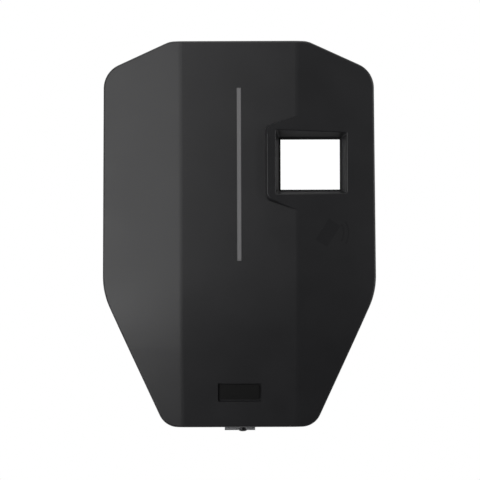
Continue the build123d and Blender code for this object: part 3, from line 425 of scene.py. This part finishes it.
ZINC = Finish(
    "zinc", (0.6, 0.61, 0.63), 0.3, Texture.BRUSHED, scale=1600.0, contrast=0.3, relief=0.01, metallic=1.0
)
BLACK_ZINC = Finish("black_zinc", (0.03, 0.03, 0.032), 0.34, scale=1800.0, relief=0.01, metallic=0.6)
BRASS = Finish("brass", (0.72, 0.5, 0.2), 0.28, Texture.BRUSHED, scale=1500.0, relief=0.01, metallic=1.0)
DEVICE_WHITE = Finish("device_white", (0.66, 0.66, 0.63), 0.42, scale=2200.0, relief=0.015, contrast=0.08)
DEVICE_GREY = Finish("device_grey", (0.1, 0.105, 0.11), 0.45, scale=2200.0, relief=0.015)
TERMINAL_GREY = Finish("terminal_grey", (0.3, 0.3, 0.29), 0.45, scale=2200.0, relief=0.015, contrast=0.12)
TERMINAL_BLUE = Finish("terminal_blue", (0.02, 0.09, 0.36), 0.45, scale=2200.0, relief=0.015, contrast=0.12)
TERMINAL_GREEN = Finish("terminal_green", (0.1, 0.3, 0.03), 0.45, scale=2200.0, relief=0.015, contrast=0.12)
MODULE_BLACK = Finish("module_black", (0.02, 0.02, 0.02), 0.5, scale=1800.0, relief=0.02)
CONNECTOR_GREEN = Finish("connector_green", (0.03, 0.2, 0.06), 0.4, scale=2000.0, relief=0.015)
TOGGLE_BLUE = Finish("toggle_blue", (0.015, 0.05, 0.2), 0.4, scale=2000.0, relief=0.015)
BUTTON_YELLOW = Finish("button_yellow", (0.7, 0.38, 0.03), 0.35, scale=2000.0, relief=0.01, contrast=0.1)
PANE_CLEAR = ClearFinish("pane_clear", (0.97, 0.98, 0.985))
MARK_BLACK = Finish("mark_black", (0.008, 0.008, 0.009), 0.42, scale=2400.0, relief=0.03, specular=0.36)
CHIP_BLACK = Finish("chip_black", (0.015, 0.015, 0.016), 0.5, scale=3000.0, relief=0.01)
RELAY_BLACK = Finish("relay_black", (0.03, 0.03, 0.033), 0.4, scale=2000.0, relief=0.01)
FERRITE = Finish("ferrite", (0.05, 0.047, 0.045), 0.6, scale=1500.0, relief=0.03)
FILM_YELLOW = Finish("film_yellow", (0.62, 0.4, 0.04), 0.4, scale=1800.0, relief=0.01, contrast=0.1)
SLEEVE_BLUE = Finish("sleeve_blue", (0.01, 0.018, 0.07), 0.3, scale=1800.0, relief=0.005)
SOCKET_WHITE = Finish("socket_white", (0.7, 0.68, 0.6), 0.45, scale=2200.0, relief=0.01, contrast=0.08)
TIN = Finish(
    "tin", (0.68, 0.68, 0.66), 0.28, Texture.BRUSHED, scale=2400.0, contrast=0.2, relief=0.005, metallic=1.0
)
COPPER = Finish("copper", (0.72, 0.36, 0.2), 0.3, Texture.BRUSHED, scale=2000.0, relief=0.005, metallic=1.0)
FLOOR_PALE = Finish(
    "floor_pale", (0.86, 0.86, 0.86), 0.7, scale=60.0, contrast=0.02, relief=0.0, emission=0.75, spill=0.0
)

SLOT_FINISHES: dict[str, Finish | ClearFinish] = {
    "cover_plastic": COVER_BLACK,
    "diffuser_plastic": STRIP_GREY,
    "circuit_board": BOARD_GREEN,
    "led_plastic": LED_CLEAR,
    "seal_rubber": SEAL_BLACK,
    "clear_pane": PANE_CLEAR,
    # The display face takes the painted white glow.
    "display_face": PAINTED_GLOW_WHITE,
    "zinc_steel": ZINC,
    "black_steel": BLACK_ZINC,
    "nameplate_plastic": PLATE_BLACK,
    "insert_brass": BRASS,
    "housing_plastic": HOUSING_BLACK,
    "device_plastic": DEVICE_WHITE,
    "contactor_plastic": DEVICE_GREY,
    "terminal_line": TERMINAL_GREY,
    "terminal_neutral": TERMINAL_BLUE,
    "terminal_earth": TERMINAL_GREEN,
    "module_plastic": MODULE_BLACK,
    "connector_plastic": CONNECTOR_GREEN,
    "gland_plastic": GLAND_BLACK,
    "toggle_plastic": TOGGLE_BLUE,
    "button_plastic": BUTTON_YELLOW,
}


@dataclass
class Workshop:
    """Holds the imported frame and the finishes, and turns bmeshes into pieces that ride on it."""

    frame: dict
    groups: SurfaceGroups = field(default_factory=SurfaceGroups)
    materials: dict[str, bpy.types.Material] = field(default_factory=dict)

    def material(self, finish: Finish | ClearFinish) -> bpy.types.Material:
        """Give a finish's material, made on first use.

        Args:
            finish: The finish.

        Returns:
            The material.
        """
        if finish.name not in self.materials:
            self.materials[finish.name] = finish.build(self.groups)
        return self.materials[finish.name]

    def dress_nodes(self) -> None:
        """Give every CAD node the finish of its slot."""
        slots = {part["node"]: part["material_slot"] for part in self.frame["record"]["subparts"]}
        for name, node in self.frame["nodes"].items():
            node.data.materials.clear()
            node.data.materials.append(self.material(SLOT_FINISHES[slots[name]]))
            LOG.info("node %s has finish %s", name, SLOT_FINISHES[slots[name]].name)

    def solids_of(self, name: str) -> list[Box]:
        """Find the separate solids of a CAD node.

        Args:
            name: The node's name.

        Returns:
            The box round each solid.
        """
        bm = bmesh.new()
        bm.from_mesh(self.frame["nodes"][name].data)
        bmesh.ops.remove_doubles(bm, verts=bm.verts, dist=NODE_MERGE)
        found, boxes = set(), []
        for first in bm.verts:
            if first in found:
                continue
            solid, rim = set(), {first}
            while rim:
                solid |= rim
                rim = {line.other_vert(vert) for vert in rim for line in vert.link_edges} - solid
            found |= solid
            boxes.append(Box.round_points([vert.co.copy() for vert in solid]))
        bm.free()
        return boxes

    def piece(
        self,
        bm: bmesh.types.BMesh,
        name: str,
        finish: Finish | ClearFinish,
        body: Body,
        slot: str,
        smooth: float = 35.0,
    ) -> bpy.types.Object:
        """Make a finished mesh a piece that rides on a body.

        Args:
            bm: The mesh, in the frame's place and in metres. It is freed.
            name: The piece's name.
            finish: The piece's finish.
            body: The body that it rides on.
            slot: The record's material slot that the finish stands for; not used.
            smooth: The angle in degrees below which edges are shaded smooth.

        Returns:
            The piece.
        """
        bmesh.ops.remove_doubles(bm, verts=bm.verts, dist=PIECE_MERGE)
        bmesh.ops.recalc_face_normals(bm, faces=bm.faces)
        for face in bm.faces:
            face.smooth = True
        for edge in bm.edges:
            edge.smooth = len(edge.link_faces) == 2 and edge.calc_face_angle() < math.radians(smooth)
        mesh = bpy.data.meshes.new(name)
        bm.to_mesh(mesh)
        bm.free()
        mesh.materials.append(self.material(finish))
        piece = bpy.data.objects.new(name, mesh)
        bpy.context.scene.collection.objects.link(piece)
        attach(piece, body.value)
        LOG.info("piece %s rides on %s", name, body.value)
        return piece


@dataclass(frozen=True)
class Box:
    """An upright box in the frame, by its lowest and highest corner."""

    low: Vector
    high: Vector

    @classmethod
    def of_node(cls, name: str) -> Box:
        """Give the box round a CAD node at rest."""
        return cls(*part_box(name))

    @classmethod
    def round_points(cls, points: Sequence[Vector]) -> Box:
        """Give the box round some points."""
        columns = list(zip(*points))
        return cls(Vector(map(min, columns)), Vector(map(max, columns)))

    def at(self, x: float, y: float, z: float) -> Vector:
        """Give the point at these shares of the box, 0 at its low corner and 1 at its high one."""
        return self.low + Vector((x, y, z)) * (self.high - self.low)


class Stock:
    """Makes the plain solids that pieces are built from, each added to a bmesh."""

    @staticmethod
    def block(bm: bmesh.types.BMesh, middle: Vector, size: Vector, edge: float) -> None:
        """Add a block with rounded edges.

        Args:
            bm: The mesh.
            middle: The block's middle.
            size: Its size along X, Y and Z.
            edge: The radius of its edges.
        """
        made = bmesh.ops.create_cube(bm, size=1.0)["verts"]
        stretched = Matrix.Diagonal((*size, 1.0))
        bmesh.ops.transform(bm, matrix=Matrix.Translation(middle) @ stretched, verts=made)
        bmesh.ops.bevel(
            bm,
            geom=list(dict.fromkeys(line for vert in made for line in vert.link_edges)),
            offset=edge,
            offset_type="OFFSET",
            affect="EDGES",
            segments=EDGE_SEGMENTS,
            profile=0.5,
            material=-1,
        )

    @staticmethod
    def turn(bm: bmesh.types.BMesh, profile: Profile, steps: int = 24) -> list[bmesh.types.BMVert]:
        """Add a turned solid about +Z at the origin.

        Args:
            bm: The mesh.
            profile: The radius and height of each point in mm, from pole to pole.
            steps: The steps round the axis.

        Returns:
            The solid's vertices.
        """
        start = len(bm.verts)
        chain = [bm.verts.new((radius * MM, 0.0, height * MM)) for radius, height in profile]
        lines = [bm.edges.new(pair) for pair in zip(chain, chain[1:])]
        bmesh.ops.spin(
            bm,
            geom=chain + lines,
            cent=(0.0, 0.0, 0.0),
            axis=(0.0, 0.0, 1.0),
            dvec=(0.0, 0.0, 0.0),
            angle=math.tau,
            steps=steps,
            use_merge=True,
        )
        bm.verts.ensure_lookup_table()
        return bm.verts[start:]

    @staticmethod
    def put(bm: bmesh.types.BMesh, verts: list[bmesh.types.BMVert], place: Vector, axis: Vector) -> None:
        """Move a turned solid to its place, its +Z along an axis."""
        turned = axis.to_track_quat("Z", "Y").to_matrix().to_4x4()
        bmesh.ops.transform(bm, matrix=Matrix.Translation(place) @ turned, verts=verts)


@dataclass(frozen=True)
class Screw:
    """A pan-head screw with a cross recess, in mm."""

    head_radius: float
    head_height: float
    length: float
    shank_share: float = 0.52
    tip_share: float = 0.5
    rim_share: float = 0.55
    shoulder_share: tuple[float, float] = (0.93, 0.22)
    crown_share: float = 0.78
    recess_share: float = 0.6
    recess_depth_share: float = 0.6
    recess_tolerance: float = 0.01
    cross_waist: float = 0.36
    cross_sharpness: float = 8.0
    steps: int = 32

    @classmethod
    def like(cls, box: Box, axis: Vector, head_height: float) -> Screw:
        """Give the screw that fills the box of a plain one.

        Args:
            box: The plain screw's box.
            axis: The direction from its tip to its head.
            head_height: The height of its head in mm.

        Returns:
            The screw.
        """
        size = (box.high - box.low) / MM
        length = abs(size.dot(axis))
        head_radius = (size.x + size.y + size.z - length) / 4.0
        return cls(head_radius, head_height, length)

    def add(self, bm: bmesh.types.BMesh, crown: Vector, axis: Vector) -> None:
        """Add the screw to a mesh.

        Args:
            bm: The mesh.
            crown: The middle of its head's top.
            axis: The direction from its tip to its head.
        """
        shank = self.head_radius * self.shank_share
        seat = -self.head_height
        recess = self.head_radius * self.recess_share
        floor = -self.head_height * self.recess_depth_share
        verts = Stock.turn(
            bm,
            [
                (0.0, -self.length),
                (shank * self.tip_share, -self.length),
                (shank, shank - self.length),
                (shank, seat),
                (self.head_radius, seat),
                (self.head_radius, seat * self.rim_share),
                (self.head_radius * self.shoulder_share[0], seat * self.shoulder_share[1]),
                (self.head_radius * self.crown_share, 0.0),
                (recess, 0.0),
                (recess, floor),
                (0.0, floor),
            ],
            self.steps,
        )
        for vert in verts:
            if abs(vert.co.xy.length - recess * MM) < self.recess_tolerance * recess * MM:
                swing = abs(math.cos(2.0 * math.atan2(vert.co.y, vert.co.x))) ** self.cross_sharpness
                vert.co.xy *= self.cross_waist + (1.0 - self.cross_waist) * swing
        Stock.put(bm, verts, crown, axis)


@dataclass
class Fasteners:
    """The cross-recessed screws of the boards, the rails and the latch bracket, in mm."""

    shop: Workshop
    head_height: float = 2.0

    def build(self) -> None:
        """Make each set and let it stand for the plain one."""
        sets = (
            ("control_board_screws", FRONTWARDS, Body.HOUSING),
            ("rail_screws", FRONTWARDS, Body.HOUSING),
            ("bracket_screws", DOWNWARDS, Body.HOUSING),
            ("cover_board_screws", BACKWARDS, Body.COVER),
        )
        for node, axis, body in sets:
            bm = bmesh.new()
            for box in self.shop.solids_of(node):
                crown = box.at(*(0.5 + 0.5 * share for share in axis))
                Screw.like(box, axis, self.head_height).add(bm, crown, axis)
            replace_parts(self.shop.piece(bm, f"{node}_crossed", ZINC, body, "zinc_steel"), node)


@dataclass
class ClampScrews:
    """The clamp screws in the wells of the rail devices and the terminals, in mm."""

    shop: Workshop
    nose_height: float = 45.0
    nose_step: float = 14.0
    breaker_poles: int = 4
    contactor_poles: int = 3
    device_head: Screw = Screw(head_radius=2.7, head_height=2.2, length=7.0)
    device_sink: float = 2.5
    well_distance: float = 22.0
    terminal_head: Screw = Screw(head_radius=2.1, head_height=1.8, length=8.0)
    terminal_sink: float = 2.0

    def build(self) -> None:
        """Fill the wells of both devices and of every terminal."""
        self._fill_device("breaker_body", self.breaker_poles)
        self._fill_device("contactor", self.contactor_poles)
        self._fill_terminals()

    def _fill_device(self, node: str, poles: int) -> None:
        """Add a device's clamp screws, a row above its nose and a row below it.

        Args:
            node: The device's CAD node.
            poles: How many poles it has.
        """
        box = Box.of_node(node)
        height = (box.high.z - box.low.z) / MM
        well = (height - self.nose_height) / 4.0 / height
        sink = FRONTWARDS * (self.nose_step + self.device_sink) * MM
        bm = bmesh.new()
        for index in range(poles):
            for share in (well, 1.0 - well):
                self.device_head.add(bm, box.at((index + 0.5) / poles, 0.0, share) - sink, FRONTWARDS)
        self.shop.piece(bm, f"{node}_clamp_screws", ZINC, Body.HOUSING, "zinc_steel")

    def _fill_terminals(self) -> None:
        """Add two clamp screws to each terminal."""
        bm = bmesh.new()
        for node in sorted(name for name in self.shop.frame["nodes"] if "_terminal_" in name):
            box = Box.of_node(node)
            for side in (-0.5, 0.5):
                lift = Vector((0.0, 0.0, side * self.well_distance * MM))
                crown = box.at(0.5, 0.0, 0.5) + lift - FRONTWARDS * self.terminal_sink * MM
                self.terminal_head.add(bm, crown, FRONTWARDS)
        self.shop.piece(bm, "terminal_clamp_screws", ZINC, Body.HOUSING, "zinc_steel")


@dataclass(frozen=True)
class Component:
    """A block on a board: its place from the board's middle, its size and the radius of its edges, in mm."""

    x: float
    z: float
    width: float
    height: float
    depth: float
    edge: float

    def rows(self, levels: Sequence[float], count: int = 1, pitch: float = 0.0) -> Components:
        """Give rows of such blocks, each row starting at this block's place across.

        Args:
            levels: The rows' heights from the board's middle.
            count: The blocks in a row.
            pitch: The distance from block to block.

        Returns:
            The blocks.
        """
        return tuple(
            replace(self, x=self.x + step * pitch, z=level) for step in range(count) for level in levels
        )


Components = tuple[Component, ...]


@dataclass(frozen=True)
class Can:
    """An upright round capacitor with a crimped foot and a dished top, in mm."""

    radius: float
    height: float
    crimp_level: float = 1.8
    crimp_half_width: float = 0.6
    crimp_share: float = 0.93
    rim: float = 0.5
    dish: float = 0.25

    def profile(self) -> Profile:
        """Draw its outline.

        Returns:
            The radius and height of each point, from pole to pole.
        """
        floor = self.height - self.dish
        return [
            (0.0, 0.0),
            (self.radius, 0.0),
            (self.radius, self.crimp_level - self.crimp_half_width),
            (self.radius * self.crimp_share, self.crimp_level),
            (self.radius, self.crimp_level + self.crimp_half_width),
            (self.radius, self.height - self.rim),
            (self.radius - self.rim, self.height),
            (self.radius - 2.0 * self.rim, floor),
            (0.0, floor),
        ]


@dataclass
class BoardParts:
    """The components on one face of a circuit board, in mm."""

    shop: Workshop
    board: str
    body: Body
    outwards: Vector
    leg_length: float = 1.4
    leg_thickness: float = 0.5
    leg_reach: float = 0.5
    leg_edge: float = 0.05

    def _seat(self, x: float, z: float) -> Vector:
        """Give a point on the board's face, by its place from the board's middle in mm."""
        box = Box.of_node(self.board)
        return box.at(0.5, 0.5 + 0.5 * self.outwards.y, 0.5) + Vector((x, 0.0, z)) * MM

    def blocks(self, name: str, finish: Finish, slot: str, components: Iterable[Component]) -> None:
        """Add block-shaped components as one piece.

        Args:
            name: The piece's name.
            finish: Its finish.
            slot: The material slot that the finish stands for.
            components: The blocks.
        """
        bm = bmesh.new()
        for item in components:
            middle = self._seat(item.x, item.z) + self.outwards * item.depth / 2.0 * MM
            size = Vector((item.width, item.depth, item.height)) * MM
            Stock.block(bm, middle, size, item.edge * MM)
        self.shop.piece(bm, name, finish, self.body, slot)

    def cans(self, name: str, finish: Finish, slot: str, places: Places, can: Can) -> None:
        """Add upright round capacitors as one piece.

        Args:
            name: The piece's name.
            finish: Its finish.
            slot: The material slot that the finish stands for.
            places: Their places from the board's middle.
            can: The capacitor.
        """
        bm = bmesh.new()
        for x, z in places:
            Stock.put(bm, Stock.turn(bm, can.profile()), self._seat(x, z), self.outwards)
        self.shop.piece(bm, name, finish, self.body, slot)

    def legs(self, name: str, chip: Component, count: int, pitch: float) -> None:
        """Add the legs on all four sides of a chip as one piece.

        Args:
            name: The piece's name.
            chip: The chip.
            count: The legs on each side.
            pitch: The distance from leg to leg.
        """
        upright = Component(0.0, 0.0, pitch / 2.0, self.leg_length, self.leg_thickness, self.leg_edge)
        level = replace(upright, width=upright.height, height=upright.width)
        legs = []
        for along in ((index - (count - 1) / 2.0) * pitch for index in range(count)):
            for side in (-1, 1):
                beside = chip.x + side * (chip.width / 2.0 + self.leg_reach)
                above = chip.z + side * (chip.height / 2.0 + self.leg_reach)
                legs.append(replace(upright, x=chip.x + along, z=above))
                legs.append(replace(level, x=beside, z=chip.z + along))
        self.blocks(name, TIN, "zinc_steel", legs)

    def coil(self, name: str, turns: int, outer: float, track: float, thickness: float = 0.05) -> None:
        """Add the square turns of a printed aerial as one piece.

        Args:
            name: The piece's name.
            turns: How many turns there are.
            outer: The outer turn's half width.
            track: The width of a track and of the gap beside it.
            thickness: The thickness of the track.
        """
        bm = bmesh.new()
        for turn in range(turns):
            half_width = (outer - 2 * turn * track) * MM
            made = bmesh.ops.create_grid(bm, x_segments=1, y_segments=1, size=half_width)["verts"]
            inner = made[0].link_faces[0]
            ring = bmesh.ops.inset_region(
                bm, faces=[inner], thickness=track * MM, use_boundary=True, use_even_offset=True
            )["faces"]
            bmesh.ops.delete(bm, geom=[inner], context="FACES")
            up = bmesh.ops.extrude_face_region(bm, geom=ring)["geom"]
            raised = [item for item in up if isinstance(item, bmesh.types.BMVert)]
            bmesh.ops.translate(bm, verts=raised, vec=(0.0, 0.0, thickness * MM))
        Stock.put(bm, bm.verts[:], self._seat(0.0, 0.0), self.outwards)
        self.shop.piece(bm, name, COPPER, self.body, "insert_brass")


@dataclass
class Controller:
    """What stands on the control board beside its modules, in mm."""

    shop: Workshop
    relays: Components = Component(-3.0, 0.0, 14.0, 24.0, 15.0, edge=0.8).rows([-14.0], count=2, pitch=17.0)
    films: Components = Component(-52.0, 0.0, 13.0, 6.0, 10.0, edge=0.7).rows([36.5], count=3, pitch=16.0)
    chokes: Components = Component(-58.0, 0.0, 12.0, 12.0, 9.0, edge=1.0).rows([-17.5], count=3, pitch=16.0)
    can: Can = Can(radius=5.0, height=16.0)
    can_places: Places = ((66.0, 26.0), (66.0, 13.0), (66.0, 0.0))
    chip: Component = Component(2.0, 24.0, 14.0, 14.0, 1.4, edge=0.2)
    chip_legs: int = 16
    chip_pitch: float = 0.8
    crystal: Component = Component(17.0, 24.0, 4.5, 11.0, 3.5, edge=1.2)
    small_parts: Components = Component(-10.0, 0.0, 1.6, 0.9, 0.5, edge=0.1).rows(
        [10.0, 13.0, 36.0], count=11, pitch=2.4
    )

    def build(self) -> None:
        """Add the relays, capacitors, chips and small parts."""
        board = BoardParts(self.shop, "control_board", Body.HOUSING, FRONTWARDS)
        board.blocks("control_relays", RELAY_BLACK, "module_plastic", self.relays)
        board.blocks("control_film_capacitors", FILM_YELLOW, "button_plastic", self.films)
        board.blocks("control_chokes", FERRITE, "module_plastic", self.chokes)
        board.cans("control_capacitors", SLEEVE_BLUE, "toggle_plastic", self.can_places, self.can)
        board.blocks("control_chip", CHIP_BLACK, "module_plastic", [self.chip])
        board.legs("control_chip_legs", self.chip, self.chip_legs, self.chip_pitch)
        board.blocks("control_crystal", TIN, "zinc_steel", [self.crystal])
        board.blocks("control_small_parts", CHIP_BLACK, "module_plastic", self.small_parts)


@dataclass
class CoverBoards:
    """What stands on the backs of the boards behind the cover, in mm."""

    shop: Workshop
    display_chip: Component = Component(-10.0, 8.0, 12.0, 12.0, 1.2, edge=0.2)
    display_legs: int = 12
    display_pitch: float = 0.9
    display_socket: Component = Component(0.0, -27.0, 34.0, 5.0, 3.5, edge=0.4)
    display_small_parts: Components = Component(8.0, 0.0, 1.6, 0.9, 0.5, edge=0.1).rows(
        [2.0, 6.0, 14.0], count=9, pitch=2.6
    )
    aerial_turns: int = 6
    aerial_half_width: float = 19.0
    aerial_track: float = 0.5
    reader_chip: Component = Component(0.0, 0.0, 7.0, 7.0, 0.9, edge=0.15)
    strip_socket: Component = Component(0.0, -83.0, 10.0, 6.0, 4.0, edge=0.4)
    strip_drivers: Components = Component(0.0, 0.0, 5.0, 4.0, 1.3, edge=0.15).rows(range(-66, 67, 22))

    def build(self) -> None:
        """Dress the display's, the reader's and the strip's board."""
        display = BoardParts(self.shop, "display_board", Body.COVER, BACKWARDS)
        display.blocks("display_chip", CHIP_BLACK, "module_plastic", [self.display_chip])
        display.legs("display_chip_legs", self.display_chip, self.display_legs, self.display_pitch)
        display.blocks("display_socket", SOCKET_WHITE, "device_plastic", [self.display_socket])
        display.blocks("display_small_parts", CHIP_BLACK, "module_plastic", self.display_small_parts)
        reader = BoardParts(self.shop, "reader_board", Body.COVER, BACKWARDS)
        reader.coil("reader_aerial", self.aerial_turns, self.aerial_half_width, self.aerial_track)
        reader.blocks("reader_chip", CHIP_BLACK, "module_plastic", [self.reader_chip])
        strip = BoardParts(self.shop, "light_board", Body.COVER, BACKWARDS)
        strip.blocks("strip_socket", SOCKET_WHITE, "device_plastic", [self.strip_socket])
        strip.blocks("strip_drivers", CHIP_BLACK, "module_plastic", self.strip_drivers)


@dataclass
class ReaderMark:
    """The dark sign printed where a card is held: a card and two waves, in mm and degrees."""

    shop: Workshop
    middle: tuple[float, float] = (88.5, 3.0)
    card_size: tuple[float, float] = (25.0, 14.0)
    card_grid: tuple[int, int] = (12, 8)
    card_tilt: float = 57.0
    wave_radii: tuple[float, ...] = (15.0, 20.0)
    wave_angle: float = 32.0
    wave_line: float = 1.8
    wave_steps: int = 16
    lift: float = 0.04
    ray_start: float = -1000.0

    def build(self) -> None:
        """Make the sign flat, and lay it on the facet."""
        bm = bmesh.new()
        across, up = self.card_grid
        made = bmesh.ops.create_grid(bm, x_segments=across, y_segments=up, size=0.5)["verts"]
        tilted = Matrix.Rotation(math.radians(self.card_tilt), 4, "Z")
        stretched = Matrix.Diagonal((*self.card_size, 1.0, 1.0))
        bmesh.ops.transform(bm, matrix=tilted @ stretched, verts=made)
        angle = math.radians(self.wave_angle)
        heading = Vector((math.cos(angle), -math.sin(angle), 0.0))
        for radius in self.wave_radii:
            ends = [bm.verts.new(heading * reach) for reach in (radius, radius + self.wave_line)]
            bmesh.ops.spin(
                bm,
                geom=[*ends, bm.edges.new(ends)],
                cent=(0.0, 0.0, 0.0),
                axis=(0.0, 0.0, 1.0),
                dvec=(0.0, 0.0, 0.0),
                angle=2.0 * angle,
                steps=self.wave_steps,
            )
        cover = self.shop.frame["nodes"]["front_cover"]
        for vert in bm.verts:
            start = Vector((vert.co.x + self.middle[0], self.ray_start, vert.co.y + self.middle[1])) * MM
            hit, place, _, _ = cover.ray_cast(start, BACKWARDS)
            if hit:
                vert.co = place + FRONTWARDS * self.lift * MM
        bmesh.ops.recalc_face_normals(bm, faces=bm.faces)
        bmesh.ops.solidify(bm, geom=bm.faces[:], thickness=self.lift * MM)
        self.shop.piece(bm, "reader_mark", MARK_BLACK, Body.COVER, "cover_plastic")


@dataclass(frozen=True)
class Lamp:
    """A soft oblong lamp: where it hangs and how wide and high it is, in metres, and its power in watts."""

    name: str
    place: Point
    size: tuple[float, float]
    power: float

    def hang(self, aim: Point) -> None:
        """Hang the lamp.

        Args:
            aim: The point that it is aimed at.
        """
        data = bpy.data.lights.new(self.name, "AREA")
        data.shape = "RECTANGLE"
        data.size, data.size_y = self.size
        data.energy = self.power
        lamp = bpy.data.objects.new(self.name, data)
        lamp.location = self.place
        lamp.rotation_euler = (Vector(aim) - Vector(self.place)).to_track_quat("-Z", "Y").to_euler()
        bpy.context.scene.collection.objects.link(lamp)


LAMPS = (
    Lamp("key_left", place=(-1.05, -1.35, 0.1), size=(0.9, 1.7), power=13.4),
    Lamp("low_left", place=(-1.05, -1.2, -0.5), size=(0.4, 0.4), power=5.0),
    Lamp("front_middle", place=(-0.5, -1.6, 0.2), size=(0.6, 0.9), power=2.9),
    Lamp("front_top", place=(-0.35, -1.25, 0.95), size=(1.4, 0.7), power=4.0),
    Lamp("top_soft", place=(0.0, -0.45, 1.7), size=(2.4, 1.4), power=16.0),
    Lamp("side_right", place=(1.7, -0.9, 0.2), size=(0.2, 1.2), power=11.0),
)


@dataclass
class Studio:
    """The pale floor, the soft lights, the white surroundings and the camera, in metres.

    The camera's lens and sensor are in mm, and its roll is in degrees.
    """

    camera_distance: float = 0.9
    camera_lens: float = 66.75
    sensor_width: float = 36.0
    subject_depth: float = 0.115
    frame_centre: tuple[float, float] = (0.0007, -0.004)
    roll: float = -0.2
    floor_level: float = -2.0
    floor_radius: float = 1.5
    floor_steps: int = 96
    front_glow: float = 0.04
    glow_from: float = -0.25
    glow_to: float = 0.35
    soft_light: float = 0.06
    aim: Point = (0.0, -0.06, 0.0)

    def build(self, floor_finish: bpy.types.Material) -> None:
        """Set up the camera, the surroundings, the lights and the floor.

        Args:
            floor_finish: The floor's material.
        """
        self._place_camera()
        self._fill_world()
        for lamp in LAMPS:
            lamp.hang(self.aim)
        self._lay_floor(floor_finish)
        bpy.context.scene.view_settings.view_transform = "Standard"

    def _place_camera(self) -> None:
        """Aim the camera level at the cover, turned by the photograph's small roll."""
        data = bpy.data.cameras.new("camera")
        data.lens = self.camera_lens
        data.sensor_width = self.sensor_width
        camera = bpy.data.objects.new("camera", data)
        across, up = self.frame_centre
        place = Matrix.Translation((across, -self.subject_depth - self.camera_distance, up))
        level = Matrix.Rotation(RIGHT_ANGLE, 4, "X")
        rolled = Matrix.Rotation(math.radians(self.roll), 4, "Z")
        camera.matrix_world = place @ level @ rolled
        bpy.context.scene.collection.objects.link(camera)
        bpy.context.scene.camera = camera

    def _fill_world(self) -> None:
        """Make the surroundings white where they are seen, and dim in front, where the studio is dark."""
        world = bpy.data.worlds.new("surroundings")
        bpy.context.scene.world = world
        world.use_nodes = True
        tree = world.node_tree
        rays = tree.nodes.new("ShaderNodeLightPath").outputs
        heading = tree.nodes.new("ShaderNodeTexCoord")
        split = tree.nodes.new("ShaderNodeSeparateXYZ")
        tree.links.new(heading.outputs["Generated"], split.inputs["Vector"])
        behind = tree.nodes.new("ShaderNodeMapRange")
        behind.interpolation_type = "SMOOTHSTEP"
        behind.inputs["From Min"].default_value = self.glow_from
        behind.inputs["From Max"].default_value = self.glow_to
        behind.inputs["To Min"].default_value = self.front_glow
        tree.links.new(split.outputs["Y"], behind.inputs["Value"])
        seen = add_math(tree, "MAXIMUM", rays["Is Camera Ray"], rays["Is Transmission Ray"])
        mirrored = add_math(tree, "MULTIPLY", rays["Is Glossy Ray"], behind.outputs["Result"])
        shown = add_math(tree, "MAXIMUM", seen, mirrored)
        lit = add_math(tree, "MULTIPLY", rays["Is Diffuse Ray"], self.soft_light)
        background = tree.nodes["Background"]
        background.inputs["Color"].default_value = WHITE
        tree.links.new(add_math(tree, "MAXIMUM", shown, lit), background.inputs["Strength"])

    def _lay_floor(self, finish: bpy.types.Material) -> None:
        """Lay a round pale floor well below the object.

        Args:
            finish: The floor's material.
        """
        bm = bmesh.new()
        bmesh.ops.create_circle(bm, cap_ends=True, segments=self.floor_steps, radius=self.floor_radius)
        bmesh.ops.translate(bm, verts=bm.verts, vec=(0.0, 0.0, self.floor_level))
        mesh = bpy.data.meshes.new("floor")
        bm.to_mesh(mesh)
        bm.free()
        mesh.materials.append(finish)
        floor = bpy.data.objects.new("floor", mesh)
        bpy.context.scene.collection.objects.link(floor)
        floor.visible_glossy = False


def clear_scene() -> None:
    """Take away whatever the empty file holds."""
    for item in list(bpy.data.objects):
        bpy.data.objects.remove(item)


def main() -> None:
    """Load the frame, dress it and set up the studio."""
    logging.basicConfig(level=logging.INFO)
    clear_scene()
    shop = Workshop(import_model())
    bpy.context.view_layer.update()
    shop.dress_nodes()
    ReaderMark(shop).build()
    Fasteners(shop).build()
    ClampScrews(shop).build()
    Controller(shop).build()
    CoverBoards(shop).build()
    Studio().build(shop.material(FLOOR_PALE))


if __name__ == "__main__":
    main()
